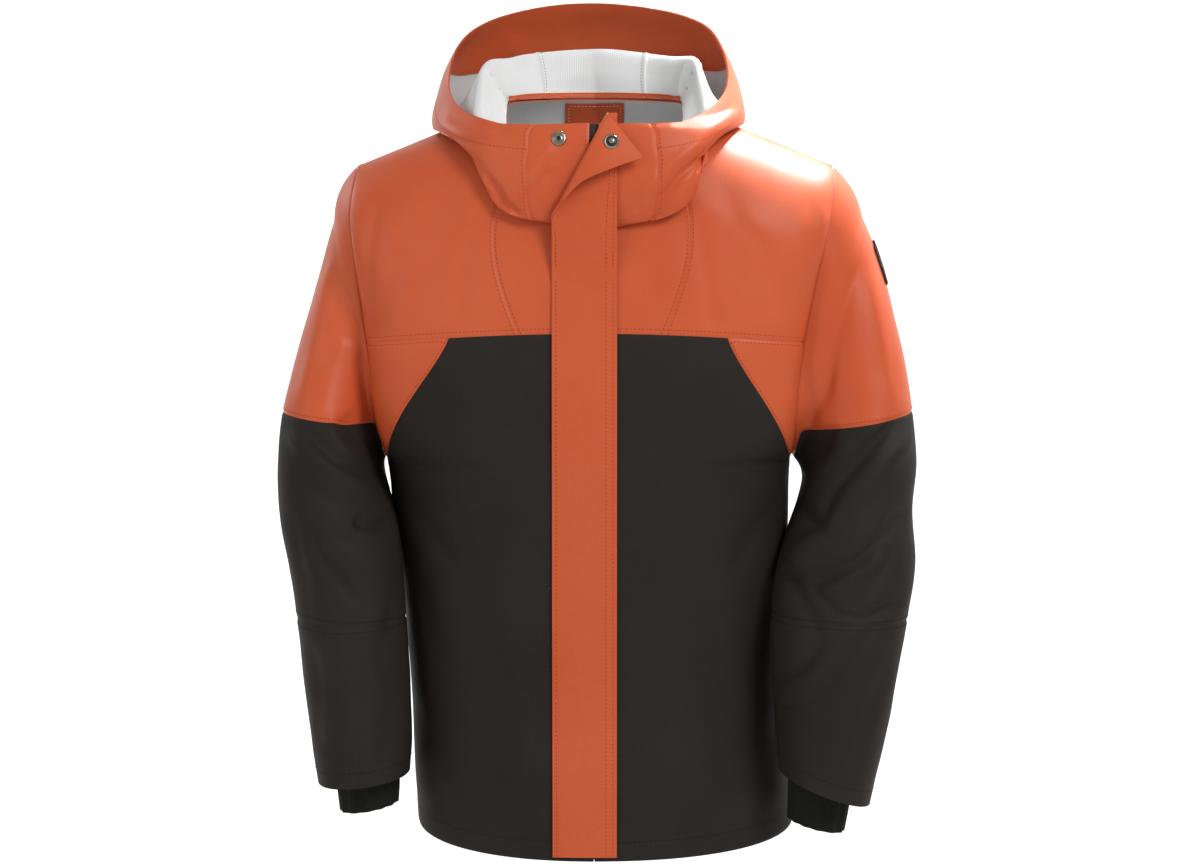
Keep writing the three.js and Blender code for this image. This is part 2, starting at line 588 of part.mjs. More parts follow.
// The hood's rings run round the neck: turn 0 is the back, and half a turn is the front.
// A column of a ring (0, 1 or 2 for x, y or z), read smoothly between its five points.
function ringAt(points, turn, column) {
  const line = points.map((point) => point[column]);
  const flip = column === 0 ? -1 : 1; // x changes sign past the back and the front
  return spline([flip * line[1], ...line, flip * line[3]], Math.abs(turn) / (Math.PI / 4) + 1);
}

function seamPoint(turn) {
  const share = (Math.asin((NECK_HALF * Math.abs(Math.sin(turn))) / SHOULDER_HALF) * 2) / Math.PI;
  const side = Math.abs(turn) < Math.PI / 2 ? 1 : -1;
  return body(side, Math.sign(turn) * share, necklineZ(side, share));
}

const seamStations = [0, 1, 2, 3, 4].map((i) => {
  const p = seamPoint((i * Math.PI) / 4);
  return [p.x - CENTRE_X, p.y, p.z];
});

function hoodPoint(turn, along) {
  const seam = seamPoint(turn);
  const way = Math.sign(turn);
  const plain = [0, 1, 2].map((column) => ringAt(seamStations, turn, column));
  const rest = [way * (seam.x - CENTRE_X) - plain[0], seam.y - plain[1], seam.z - plain[2]];
  const forward = smoothStep(clamp01((Math.abs(turn) - 2) / (Math.PI - 2)));
  const lean = turn > 0 ? HOOD_LEFT_SHRINK * Math.sin(turn) ** 2 : 0;
  const points = HOOD_RINGS.map(({ at: line }, k) => {
    const outer = Math.min(1, (k + 1) / 3.6); // how far this ring has left the neckline's own curve
    const x = ringAt(line, turn, 0) * (1 - lean * outer) + rest[0] * (1 - outer);
    const z = ringAt(line, turn, 2) + rest[2] * (1 - outer);
    const middle = mix(CENTRE_X, HOOD_X, outer * (1 - forward));
    const tilt = HOOD_TILT * way * x * outer * Math.abs(Math.sin(turn));
    return [middle + way * x, ringAt(line, turn, 1) + rest[1] * (1 - outer), z + tilt];
  });
  const all = [seam.toArray(), ...points];
  return new THREE.Vector3(...[0, 1, 2].map((i) => spline(all.map((p) => p[i]), along)));
}

const RIM = HOOD_RINGS.length;
const FRONT_TURN = Math.PI - HOOD_FRONT_GAP;
const SNAP_TURN = Math.PI - COLLAR_SEAM;
const centreTurn = (along) => {
  const reach = spline([NECK_HALF, ...HOOD_RINGS.map((ring) => ring.at[2][0])], along);
  return Math.asin(HOOD_CENTRE_HALF / reach);
};
const FACING_ROWS = [7.7, 8.35, RIM];
const TAPE_ROWS = [0.18, 0.42];
const hoodRows = [0, ...TAPE_ROWS, 0.65, 1, 1.5, 2, 2.5, 3, 4, 5, 6, 7, ...FACING_ROWS];
const neckTools = Object.entries(frontSolids)
  .filter(([name]) => /^(insert|yoke|back_yoke)/.test(name))
  .map(([, shape]) => shape);

// The hood is cut into five panels. Each runs from one seam to the next, given as turns that
// may vary along the hood's profile, over a number of columns.
const HOOD_SIDE_COLUMNS = 12;
const HOOD_CENTRE_COLUMNS = 6;
const COLLAR_COLUMNS = 3;
const hoodPanels = [
  { name: "collar_r", from: () => -FRONT_TURN, to: () => -SNAP_TURN, columns: COLLAR_COLUMNS },
  { name: "hood_side_r", from: () => -SNAP_TURN, to: (k) => -centreTurn(k), columns: HOOD_SIDE_COLUMNS },
  { name: "hood_centre", from: (k) => -centreTurn(k), to: centreTurn, columns: HOOD_CENTRE_COLUMNS },
  { name: "hood_side_l", from: centreTurn, to: () => SNAP_TURN, columns: HOOD_SIDE_COLUMNS },
  { name: "collar_l", from: () => SNAP_TURN, to: () => FRONT_TURN, columns: COLLAR_COLUMNS },
];

// A strip of cloth over one or more neighbouring panels; columns count down from the wearer's left.
function hoodStrip(panels, rows, options = {}) {
  const total = panels.reduce((sum, panel) => sum + panel.columns, 0);
  const point = (a, k) => {
    let column = total - a;
    for (const panel of panels) {
      if (column <= panel.columns || panel === panels[panels.length - 1]) {
        return hoodPoint(mix(panel.from(k), panel.to(k), column / panel.columns), k);
      }
      column -= panel.columns;
    }
    return null;
  };
  return wall(point, steps(0, total, total), rows, options);
}

const hoodTools = hoodPanels.slice(1, 4).map((panel) => solid(hoodStrip([panel], hoodRows, { grow: 0.2 })));
for (const panel of hoodPanels) {
  const whole = solid(hoodStrip([panel], hoodRows, { lift: HOOD_LIFT, side: SEAM_GAP }));
  const tools = panel.name.startsWith("collar") ? [...neckTools, ...hoodTools] : neckTools;
  place(panel.name, cut(whole, tools), "shell");
}

// The brim's facing and the tape over the neck seam lie inside the hood.
const behind = { depth: CLOTH + SEAM_GAP, cloth: 1.2 };
const hoodOnly = hoodPanels.slice(1, 4);
place("hood_facing", cut(solid(hoodStrip(hoodOnly, FACING_ROWS, behind)), hoodTools), "shell");
place("neck_tape", hoodStrip([hoodPanels[2]], TAPE_ROWS, behind), "shell");

// A plain patch lies inside the back yoke, on the yoke's own columns and rows.
const patchColumns = [-1 / 3, 0, 1 / 3];
const patchRows = [5, 6, 7, 8, 9].map((row) => row / CHEST_ROWS);
const patch = wall(backwardsPoint(backYoke), patchColumns, patchRows, behind);
place("neck_patch", patch, "shell");

// A blank patch lies on the wearer's left upper arm.
const armColumns = [-1, 0, 1].map((column) => (column * 2 * Math.PI) / SLEEVE_COLUMNS);
const armPatch = wall((turn, k) => sleevePoint("l", turn, k), armColumns, [1.5, 2, PATCH_TO], {
  depth: -(1.2 + SEAM_GAP),
  cloth: 1.2,
});
place("arm_patch", armPatch, "dark");

// The storm flap is laid out flat as points [x, z], folded, and then carried to the front.
function frontFace(x, z) {
  const half = bodyAt(x < CENTRE_X ? "right" : "left", z);
  const share = (Math.asin((x - CENTRE_X) / half) * 2) / Math.PI;
  return body(-1, share, z).y;
}

function flapFace(x, z) {
  const step = FLAP_LINE[0].z - FLAP_LINE[1].z;
  const line = FLAP_LINE.map((row) => row.y);
  const high = spline(line, Math.max(-1, (FLAP_LINE[0].z - z) / step)) + 0.0004 * (x - CENTRE_X) ** 2;
  const low = frontFace(x, z) - FLAP_LIFT - FLAP.cloth;
  return mix(low, high, smoothStep(clamp01((z - FLAP_JOIN[0]) / (FLAP_JOIN[1] - FLAP_JOIN[0]))));
}

function flapPoint(x, z) {
  const { start, run, rise } = FLAP_FOLD;
  const past = -rise * (x - FLAP.left) + run * (z - start);
  const up = clamp01((run * (x - FLAP.left) + rise * (z - start)) / FLAP_FOLD.length);
  const radius = mix(FLAP_FOLD.radius, FLAP_FOLD.topRadius, up);
  let [fx, fz, height] = [x, z, 0];
  if (past > 0) {
    const rolled = past < Math.PI * radius;
    const flat = rolled ? radius * Math.sin(past / radius) : Math.PI * radius - past;
    height = rolled ? radius * (1 - Math.cos(past / radius)) : 2 * radius;
    fx += -rise * (flat - past);
    fz += run * (flat - past);
  }
  return new THREE.Vector3(fx, flapFace(fx, fz) - height, fz);
}

// Each row of the flap runs from a point on its left edge to one on its right or top edge.
const foldTop = FLAP.left + ((FLAP.top - FLAP_FOLD.start) * FLAP_FOLD.run) / FLAP_FOLD.rise;
const flapRows = [
  ...steps(FLAP.bottom, -200, 7).map((z) => [z, FLAP.right, z]),
  ...steps(-170, -112, 2).map((z) => [z, FLAP.right, z]),
  ...steps(0, 1, 4).map((q) => [FLAP_FOLD.start - 6 + q * 3, FLAP.right, mix(-90, FLAP.top, q)]),
  [FLAP_FOLD.start - 1.5, mix(FLAP.right, foldTop, 0.5), FLAP.top],
  ...[0, 0.035, 0.07, 0.105, 0.14, 0.19, 0.25, 0.5, 0.75, 0.97].map((q) => [
    mix(FLAP_FOLD.start, FLAP.top, q),
    mix(foldTop, FLAP.left, q),
    FLAP.top,
  ]),
];

function flapGrid(a, b) {
  const i = Math.min(flapRows.length - 2, Math.floor(b));
  const row = [0, 1, 2].map((k) => mix(flapRows[i][k], flapRows[i + 1][k], b - i));
  return flapPoint(mix(FLAP.left, row[1], a), mix(row[0], row[2], a));
}

const flap = wall(flapGrid, steps(0, 1, FLAP.columns), steps(0, flapRows.length - 1, flapRows.length - 1), {
  cloth: FLAP.cloth,
});
place("storm_flap", flap, "shell");

// How far forward the front edges lie at height z: the body's, and then the collar's.
function zipFace(z) {
  if (z < NECK_FRONT_Z) return frontFace(CENTRE_X, z);
  const rows = HOOD_RINGS.map((ring) => ring.at[4]);
  const ends = [[0, frontFace(CENTRE_X, NECK_FRONT_Z), NECK_FRONT_Z], ...rows];
  let i = 0;
  while (i < ends.length - 2 && z > ends[i + 1][2]) i += 1;
  const q = clamp01((z - ends[i][2]) / (ends[i + 1][2] - ends[i][2]));
  return mix(ends[i][1], ends[i + 1][1], q);
}

const zipRows = [
  HEM_Z - HEM_DROP + ZIP.fromHem,
  ...steps(HEM_Z - HEM_DROP, CHEST_SEAM_Z, LOWER_ROWS).slice(1),
  ...steps(0, 1, CHEST_ROWS).slice(1).map((b) => mix(CHEST_SEAM_Z, NECK_FRONT_Z, rising(b))),
  ...HOOD_RINGS.map((ring) => ring.at[4][2]),
];
const zipPoint = (x, z) => new THREE.Vector3(CENTRE_X + x, zipFace(z), z);

// The tapes lie behind the front edges, the closed teeth between them, up to the slider.
const tapeOptions = { depth: CLOTH + 0.8, cloth: ZIP.tapeCloth };
place("zip_tape_r", wall(zipPoint, [-ZIP.tape, 0], zipRows, tapeOptions), "tape");
place("zip_tape_l", wall(zipPoint, [0, ZIP.tape], zipRows, tapeOptions), "tape");
const sliderLow = SLIDER.z - SLIDER.high / 2;
const chainRows = [...zipRows.filter((z) => z < sliderLow - 2), sliderLow];
const chain = wall(zipPoint, [-ZIP.half, ZIP.half], chainRows, { depth: -ZIP.raise, cloth: ZIP.deep });
place("zip_teeth", chain, "tape");
const sliderRows = [sliderLow, SLIDER.z, sliderLow + SLIDER.high];
const slider = wall(zipPoint, [-SLIDER.half, SLIDER.half], sliderRows, {
  depth: -SLIDER.raise,
  cloth: SLIDER.deep,
});
place("zip_slider", slider, "metal");

// A snap half stands on a surface point, along its normal.
function snap(name, point, normal, middle) {
  const { radius, high, inner } = SNAP;
  const profile = [
    [0, 0],
    [radius, 0],
    [radius, high * 0.5],
    [radius - 1, high],
    [inner + 0.6, high],
    [inner, high * 0.7],
    ...middle,
  ].map(([x, y]) => new THREE.Vector2(x, y));
  const geometry = new THREE.LatheGeometry(profile, 20);
  geometry.applyQuaternion(new THREE.Quaternion().setFromUnitVectors(new THREE.Vector3(0, 1, 0), normal));
  geometry.translate(point.x, point.y, point.z);
  place(name, geometryOf(solid(geometry)), "metal");
}

function normalAt(point, a, b, step) {
  const alongA = point(a + step, b).sub(point(a - step, b));
  return alongA.cross(point(a, b + step).sub(point(a, b - step))).normalize();
}

const { turn: snapTurn, ring: snapRing } = SNAP_SOCKET;
const socketNormal = normalAt((a, b) => hoodPoint(-a, b), -snapTurn, snapRing, 0.01);
const socketPoint = hoodPoint(snapTurn, snapRing).addScaledVector(socketNormal, SEAM_GAP);
snap("snap_socket", socketPoint, socketNormal, [[0, SNAP.high * 0.7]]);
const studNormal = normalAt(flapPoint, SNAP_STUD.x, SNAP_STUD.z, 0.1).negate();
const studPoint = flapPoint(SNAP_STUD.x, SNAP_STUD.z).addScaledVector(studNormal, FLAP.cloth + SEAM_GAP);
snap("snap_stud", studPoint, studNormal, [
  [SNAP.inner - 0.4, SNAP.high + SNAP.post],
  [0, SNAP.high + SNAP.post],
]);

export default coat;
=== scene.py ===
import math

import bpy
import numpy as np
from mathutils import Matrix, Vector, noise


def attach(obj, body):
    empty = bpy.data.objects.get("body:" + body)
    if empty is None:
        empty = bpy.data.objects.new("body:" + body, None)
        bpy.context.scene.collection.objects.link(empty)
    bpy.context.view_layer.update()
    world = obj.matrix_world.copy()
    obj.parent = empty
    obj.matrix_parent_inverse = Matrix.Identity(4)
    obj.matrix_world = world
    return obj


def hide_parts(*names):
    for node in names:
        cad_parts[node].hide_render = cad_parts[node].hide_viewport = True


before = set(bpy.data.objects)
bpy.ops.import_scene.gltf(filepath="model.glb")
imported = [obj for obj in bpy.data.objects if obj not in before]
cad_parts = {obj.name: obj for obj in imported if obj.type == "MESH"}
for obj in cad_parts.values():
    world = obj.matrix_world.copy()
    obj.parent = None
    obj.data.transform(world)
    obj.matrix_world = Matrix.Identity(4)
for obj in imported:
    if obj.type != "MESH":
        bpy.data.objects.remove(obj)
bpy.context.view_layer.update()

# All shape values are in millimetres and are turned to metres when a piece is made.
MM = 0.001
CENTRE_X = -2.0
HEM_Z = -716.0
HEM_DROP = 15.0
UNDERARM_Z = -328.0
ARMHOLE_REACH = 75.0
ARMHOLE_ROUND = 70.0
SHOULDER_HALF = 254.0
SHOULDER_FALL = 0.4
SHOULDER_ROUND = 100.0
NECK_HALF = 94.0
NECK_Z = 36.0
NECK_FRONT_Z = -95.0
NECK_BACK_Z = 42.0
CHEST_SEAM_Z = -195.0
CHEST_SEAM_FALL = 12.0
GUSSET_TIP_Z = -352.0
INSERT_SEAM = 0.21
INSERT_BOW = 0.055
INSERT_TOP = 0.2146
GUSSET_START = 0.43
ZIP_EDGE = 0.012
CLOTH = 1.1

# Level sections of the body: height, half width to the wearer's right and left, depth in
# front and behind, and how square the section's corner is.
BODY_COLUMNS = {"z": 0, "right": 1, "left": 2, "front": 3, "back": 4, "square": 5}
BODY_SECTIONS = np.array([
    (-716, 187, 211, 140, 124, 2.25),
    (-660, 190, 207, 141, 124, 2.2),
    (-600, 192, 203, 141, 124, 2.15),
    (-520, 197, 202, 141, 124, 2.1),
    (-440, 205, 203, 140, 125, 2.1),
    (-390, 211, 204, 139, 126, 2.2),
    (-352, 214, 204, 138, 127, 2.4),
    (-328, 217, 205, 138, 127, 2.6),
    (-280, 224, 207, 137, 126, 2.7),
    (-220, 230, 211, 135, 124, 2.8),
    (-158, 238, 222, 129, 119, 2.8),
    (-80, 248, 240, 116, 112, 2.8),
    (-33, 245, 247, 110, 106, 2.8),
    (60, 242, 246, 104, 102, 2.8),
], dtype=float)

# Sleeve sections: outer x and z, inner x and z, middle y, half depth.
SLEEVE_SECTIONS = {
    "r": [
        (-272, -85, -221, -333, -2, 74),
        (-287, -140, -222, -340, -9, 77),
        (-302, -195, -220, -349, -20, 80),
        (-315, -243, -216, -360, -34, 81),
        (-324, -290, -210, -375, -48, 81),
        (-327, -340, -204, -398, -58, 80),
        (-324, -390, -200, -428, -63, 78),
        (-316, -440, -197, -464, -65, 75),
        (-307, -508, -195, -503, -66, 72),
        (-300, -570, -192, -560, -67, 69),
        (-294, -620, -191, -610, -68, 66),
        (-288, -663, -193, -652, -69, 62),
    ],
    "l": [
        (277, -82, 208, -333, -2, 74),
        (296, -130, 212, -338, -5, 77),
        (309, -180, 215, -344, -9, 80),
        (321, -232, 216, -352, -16, 81),
        (328, -283, 214, -362, -26, 81),
        (331, -332, 207, -382, -38, 80),
        (326, -380, 196, -408, -52, 79),
        (328, -430, 185, -440, -72, 70),
        (319, -484, 179, -480, -88, 66),
        (313, -519, 178, -512, -94, 65),
        (303, -570, 179, -555, -99, 64),
        (294, -620, 183, -600, -101, 63),
        (281, -678, 187, -643, -101, 62),
    ],
}
SLEEVE_HEAD = {"r": 6.0, "l": 4.0}  # how far the sleeve's head stands out over the shoulder tip
CUFF_SECTIONS = {
    "r": [(-272, -645, -205, -637, -68, 40), (-268, -670, -204, -661, -69, 36), (-265, -693, -205, -683, -71, 35)],
    "l": [(263, -651, 197, -632, -100, 40), (259, -680, 197, -662, -102, 36), (254, -706, 196, -692, -104, 35)],
}
ELBOW_SECTION = {"r": 9.0, "l": 10.0}
ELBOW_LINE = {"r": 8.74, "l": 9.12}  # where the elbow's sewn line shows
CUFF_TOP = {"r": 10.9, "l": 11.9}
COLOUR_SEAM = {"r": (-319.0, -280.0, 0.13), "l": (328.0, -281.0, 0.17)}

# Rings of the hood from the neckline to the rim: points at the back, half way to the side,
# the side, half way to the front, and the front.
HOOD_X = -7.0
HOOD_RINGS = np.array([
    [[0, 80, 70], [69, 53, 62], [101, -6, 52], [95, -121, -66], [0, -125, -82]],
    [[0, 96, 94], [81, 71, 85], [111, -10, 70], [103, -124, -52], [0, -131, -64]],
    [[0, 113, 62], [95, 82, 62], [119, -12, 58], [105, -123, -42], [0, -132, -48]],
    [[0, 120, -10], [107, 92, 24], [130, -16, 38], [106, -121, -30], [0, -132, -34]],
    [[0, 143, -66], [122, 108, -4], [151, -17, 20], [109, -119, -17], [0, -131, -22]],
    [[0, 177, -48], [138, 124, 2], [160, -17, 11], [107, -117, -6], [0, -129, -11]],
    [[0, 192, 30], [142, 126, 42], [161, -17, 22], [107, -114, 3], [0, -127, -1]],
    [[0, 175, 105], [133, 113, 92], [154, -17, 40], [104, -111, 11], [0, -124, 7]],
    [[0, 150, 147], [121, 100, 121], [145, -17, 54], [97, -107, 17], [0, -121, 14]],
], dtype=float)
HOOD_LEFT_SHRINK = 0.015
HOOD_TILT = 0.02
HOOD_FRONT_GAP = 0.035
HOOD_CENTRE_HALF = 56.0
COLLAR_SEAM = 0.44
RIM = 9.0

FLAP = {"left": -44.0, "right": 21.0, "top": 24.0, "bottom": -726.0, "cloth": 1.6}
FLAP_LINE = [-125, -132.6, -137, -136, -133.5, -131]  # how far forward, every 30 mm down from the top
FLAP_JOIN = (-150.0, -118.0)
FLAP_LIFT = 1.4
FLAP_FOLD = {"start": -91.0, "run": 0.459, "rise": 0.8884, "radius": 5.4, "top_radius": 2.6, "length": 125.0}


# ---------------------------------------------------------------- small maths
def mix(a, b, q):
    return a + (b - a) * q


def smooth(q):
    q = np.clip(q, 0.0, 1.0)
    return q * q * (3.0 - 2.0 * q)


def spline(values, k):
    """A smooth curve through evenly spaced values, read at the positions k."""
    values = np.asarray(values, dtype=float)
    last = len(values) - 1
    k = np.asarray(k, dtype=float)
    i = np.clip(np.floor(k).astype(int), 0, last - 1)
    q = k - i
    if values.ndim == 1:
        take = lambda j: values[j]
    else:
        across = np.arange(values.shape[1])
        take = lambda j: values[j, across]
    p1, p2 = take(i), take(i + 1)
    p0 = np.where(i > 0, take(np.maximum(i - 1, 0)), 2 * p1 - p2)
    p3 = np.where(i + 2 <= last, take(np.minimum(i + 2, last)), 2 * p2 - p1)
    return p1 + 0.5 * q * (p2 - p0 + q * (2 * p0 - 5 * p1 + 4 * p2 - p3 + q * (3 * (p1 - p2) + p3 - p0)))


def section(column, z):
    """A column of the body's section table at the heights z."""
    rows = BODY_SECTIONS
    zs, vs = rows[:, 0], rows[:, BODY_COLUMNS[column]]
    low = np.maximum(np.arange(len(rows)) - 1, 0)
    high = np.minimum(np.arange(len(rows)) + 1, len(rows) - 1)
    slope = (vs[high] - vs[low]) / (zs[high] - zs[low])
    i = np.clip(np.searchsorted(zs, z, side="left") - 1, 0, len(rows) - 2)
    step = zs[i + 1] - zs[i]
    q = np.clip((z - zs[i]) / step, 0.0, 1.0)
    q2, q3 = q * q, q * q * q
    return ((2 * q3 - 3 * q2 + 1) * vs[i] + (q3 - 2 * q2 + q) * step * slope[i]
            + (3 * q2 - 2 * q3) * vs[i + 1] + (q3 - q2) * step * slope[i + 1])


# ---------------------------------------------------------------- the body
def across(share):
    return np.sin(np.abs(share) * math.pi / 2)


def share_at(reach, half=SHOULDER_HALF):
    return np.arcsin(np.clip(reach / half, -1.0, 1.0)) * 2 / math.pi


NECK_SHARE = float(share_at(NECK_HALF))


def shoulder_z(share):
    return NECK_Z - SHOULDER_FALL * (SHOULDER_HALF * across(share) - NECK_HALF)


def neckline_z(front, share):
    q = np.minimum(1.0, SHOULDER_HALF * across(share) / NECK_HALF)
    low = np.where(np.asarray(front) < 0, NECK_FRONT_Z, NECK_BACK_Z)
    return NECK_Z + (low - NECK_Z) * np.sqrt(np.maximum(0.0, 1 - q * q))


def armhole_reach(z):
    q = np.clip((UNDERARM_Z + ARMHOLE_ROUND - z) / ARMHOLE_ROUND, 0.0, 1.0)
    return np.where(z <= UNDERARM_Z, 0.0, ARMHOLE_REACH * np.sqrt(1 - q * q))


def body(side, share, z):
    share, z = np.broadcast_arrays(np.asarray(share, float), np.asarray(z, float))
    side = np.broadcast_to(np.asarray(side, float), z.shape)
    t = across(share)
    half = np.where(share < 0, section("right", z), section("left", z))
    square = section("square", z)
    depth = np.where(side < 0, section("front", z), section("back", z))
    reach = armhole_reach(z)
    corner = np.maximum(0.0, 1 - t ** square) ** (1 / square)
    q = np.clip((shoulder_z(share) - z) / SHOULDER_ROUND, 0.0, 1.0)
    turned = np.sqrt(np.maximum(0.0, 1 - (1 - q) ** 2))
    y = side * (reach + (depth - reach) * corner) * turned
    return np.stack([CENTRE_X + np.sign(share) * half * t, y, z], axis=-1)


def chest_z(share):
    return CHEST_SEAM_Z - CHEST_SEAM_FALL * across(share) ** 2


def hem_z(side, share):
    drop = HEM_DROP * np.sqrt(np.maximum(0.0, 1 - across(share) ** 2))
    return HEM_Z - (drop if side < 0 else 0.0)


def gusset_z(share):
    q = np.clip((np.abs(share) - GUSSET_START) / (1 - GUSSET_START), 0.0, 1.0)
    return mix(chest_z(share), GUSSET_TIP_Z, q ** 0.8)


def insert_seam(b):
    return mix(INSERT_SEAM, INSERT_TOP, b) + INSERT_BOW * np.sin(math.pi * b)


def yoke_top(side, share):
    return np.where(np.abs(share) < NECK_SHARE, neckline_z(side, share), shoulder_z(share))


# ---------------------------------------------------------------- sleeves
def armhole_point(tag, turn):
    sign = -1.0 if tag == "r" else 1.0
    top = float(shoulder_z(1.0))
    z = mix(UNDERARM_Z, top, (1 + np.cos(turn)) / 2)
    return body(np.where(np.sin(turn) > 0, -1.0, 1.0), np.full_like(z, sign), z)


def oval(s, turn):
    q = (1 + np.cos(turn)) / 2
    return np.stack([mix(s[2], s[0], q), s[4] - s[5] * np.sin(turn), mix(s[3], s[1], q)], axis=-1)


def sleeve_base(tag, turn, along):
    ring = np.stack([armhole_point(tag, turn)] + [oval(s, turn) for s in SLEEVE_SECTIONS[tag]])
    p = np.stack([spline(ring[:, :, i], along) for i in range(3)], axis=-1)
    head = SLEEVE_HEAD[tag] * np.sin(math.pi * np.clip(along, 0, 1)) * np.maximum(0, np.cos(turn)) ** 2
    p[:, 0] += head * (-1.0 if tag == "r" else 1.0)
    p[:, 2] += 0.7 * head
    # The sleeve's inner side lies against the body under the arm and doesn't enter it.
    way = -1.0 if tag == "r" else 1.0
    z = np.minimum(p[:, 2], UNDERARM_Z)
    half = section("right" if way < 0 else "left", z)
    depth = np.where(p[:, 1] < 0, section("front", z), section("back", z))
    square = section("square", z)
    inside = np.clip(np.abs(p[:, 1]) / depth, 0, 1)
    wall = half * (1 - inside ** square) ** (1 / square) + 1.5
    low = p[:, 2] < UNDERARM_Z - 4
    reach = (p[:, 0] - CENTRE_X) * way
    p[:, 0] = np.where(low & (reach < wall), CENTRE_X + way * wall, p[:, 0])
    return p


def colour_seam(tag):
    """Where along the sleeve the colour seam's slanting level lies, as a table over the turn."""
    x0, z0, fall = COLOUR_SEAM[tag]
    way = -1.0 if tag == "r" else 1.0
    turns = np.linspace(-0.2, 2 * math.pi + 0.2, 400)
    low, high = np.full(400, 0.6), np.full(400, 8.0)
    for _ in range(24):
        middle = (low + high) / 2
        p = sleeve_base(tag, way * turns, middle)
        above = p[:, 2] > z0 - fall * (x0 * way - p[:, 0] * way)
        low, high = np.where(above, middle, low), np.where(above, high, middle)
    return turns, (low + high) / 2


COLOUR_SEAM_AT = {tag: colour_seam(tag) for tag in ("r", "l")}


def colour_seam_at(tag, turn):
    return np.interp(np.abs(turn), *COLOUR_SEAM_AT[tag])


# ---------------------------------------------------------------- hood
def ring_column(stations, turn, column):
    flip = -1.0 if column == 0 else 1.0
    line = stations[:, column]
    padded = np.concatenate([[flip * line[1]], line, [flip * line[3]]])
    return spline(padded, np.abs(turn) / (math.pi / 4) + 1)


def seam_point(turn):
    turn = np.asarray(turn, float)
    share = share_at(NECK_HALF * np.abs(np.sin(turn)))
    side = np.where(np.abs(turn) < math.pi / 2, 1.0, -1.0)
    return body(side, np.sign(turn) * share, neckline_z(side, share))


SEAM_STATIONS = seam_point(np.arange(5) * math.pi / 4) - np.array([CENTRE_X, 0, 0])


def hood_base(turn, along):
    seam = seam_point(turn)
    way = np.sign(turn)
    plain = np.stack([ring_column(SEAM_STATIONS, turn, c) for c in range(3)], axis=-1)
    rest = np.stack([way * (seam[:, 0] - CENTRE_X), seam[:, 1], seam[:, 2]], axis=-1) - plain
    lean = np.where(turn > 0, HOOD_LEFT_SHRINK * np.sin(turn) ** 2, 0.0)
    forward = smooth((np.abs(turn) - 2) / (math.pi - 2))
    rings = [seam]
    for k, stations in enumerate(HOOD_RINGS):
        outer = min(1.0, (k + 1) / 3.6)
        x = ring_column(stations, turn, 0) * (1 - lean * outer) + rest[:, 0] * (1 - outer)
        y = ring_column(stations, turn, 1) + rest[:, 1] * (1 - outer)
        z = ring_column(stations, turn, 2) + rest[:, 2] * (1 - outer)
        middle = CENTRE_X + (HOOD_X - CENTRE_X) * outer * (1 - forward)
        tilt = HOOD_TILT * way * x * outer * np.abs(np.sin(turn))
        rings.append(np.stack([middle + way * x, y, z + tilt], axis=-1))
    rings = np.stack(rings)
    return np.stack([spline(rings[:, :, i], along) for i in range(3)], axis=-1)


def centre_turn(along):
    reach = spline(np.concatenate([[NECK_HALF], HOOD_RINGS[:, 2, 0]]), along)
    return np.arcsin(HOOD_CENTRE_HALF / reach)


FRONT_TURN = math.pi - HOOD_FRONT_GAP
SNAP_TURN = math.pi - COLLAR_SEAM


# ---------------------------------------------------------------- storm flap
def front_face(x, z):
    half = np.where(x < CENTRE_X, section("right", z), section("left", z))
    return body(-1, np.arcsin((x - CENTRE_X) / half) * 2 / math.pi, z)[..., 1]


def flap_face(x, z):
    high = spline(FLAP_LINE, np.maximum(-1.0, (FLAP["top"] - z) / 30)) + 0.0004 * (x - CENTRE_X) ** 2
    low = front_face(x, np.minimum(z, -60)) - FLAP_LIFT - FLAP["cloth"]
    return mix(low, high, smooth((z - FLAP_JOIN[0]) / (FLAP_JOIN[1] - FLAP_JOIN[0])))


def flap_fold(x, z):
    """The flap's flat point [x, z] carried to the front of the coat, its top corner folded open."""
    start, run, rise = (FLAP_FOLD[key] for key in ("start", "run", "rise"))
    past = -rise * (x - FLAP["left"]) + run * (z - start)
    up = np.clip((run * (x - FLAP["left"]) + rise * (z - start)) / FLAP_FOLD["length"], 0, 1)
    radius = mix(FLAP_FOLD["radius"], FLAP_FOLD["top_radius"], up)
    rolled = past < math.pi * radius
    turn = np.clip(past / radius, 0, math.pi)
    flat = np.where(rolled, radius * np.sin(turn), 1.2 * (math.pi * radius - past))
    height = np.where(past > 0, np.where(rolled, radius * (1 - np.cos(turn)), 2 * radius), 0.0)
    move = np.where(past > 0, flat - past, 0.0)
    # The folded corner isn't pressed flat: its free edge bows back towards the roll and stands off.
    edge = smooth((past - 0.5 * math.pi * radius) / 22.0)
    bow = np.where(past > 0, edge * np.sin(math.pi * np.clip(up / 0.97, 0, 1) ** 0.72), 0.0)
    fx, fz = x - rise * move, z + run * move
    return np.stack([fx - 6.0 * bow, flap_face(fx, fz) - height - 3.0 * bow, fz + 10.0 * bow], axis=-1)


FOLD_TOP = FLAP["left"] + (FLAP["top"] - FLAP_FOLD["start"]) * FLAP_FOLD["run"] / FLAP_FOLD["rise"]
FLAP_ROWS = np.array(
    [(z, FLAP["right"], z) for z in np.linspace(FLAP["bottom"], -112, 40)]
    + [(FLAP_FOLD["start"] - 6 + q * 3, FLAP["right"], mix(-90, FLAP["top"], q)) for q in np.linspace(0, 1, 14)]
    + [(FLAP_FOLD["start"] - 1.5, mix(FLAP["right"], FOLD_TOP, 0.5), FLAP["top"])]
    + [(mix(FLAP_FOLD["start"], FLAP["top"], q), mix(FOLD_TOP, FLAP["left"], q), FLAP["top"])
       for q in list(np.linspace(0, 0.26, 14)) + list(np.linspace(0.3, 0.985, 12))]
)


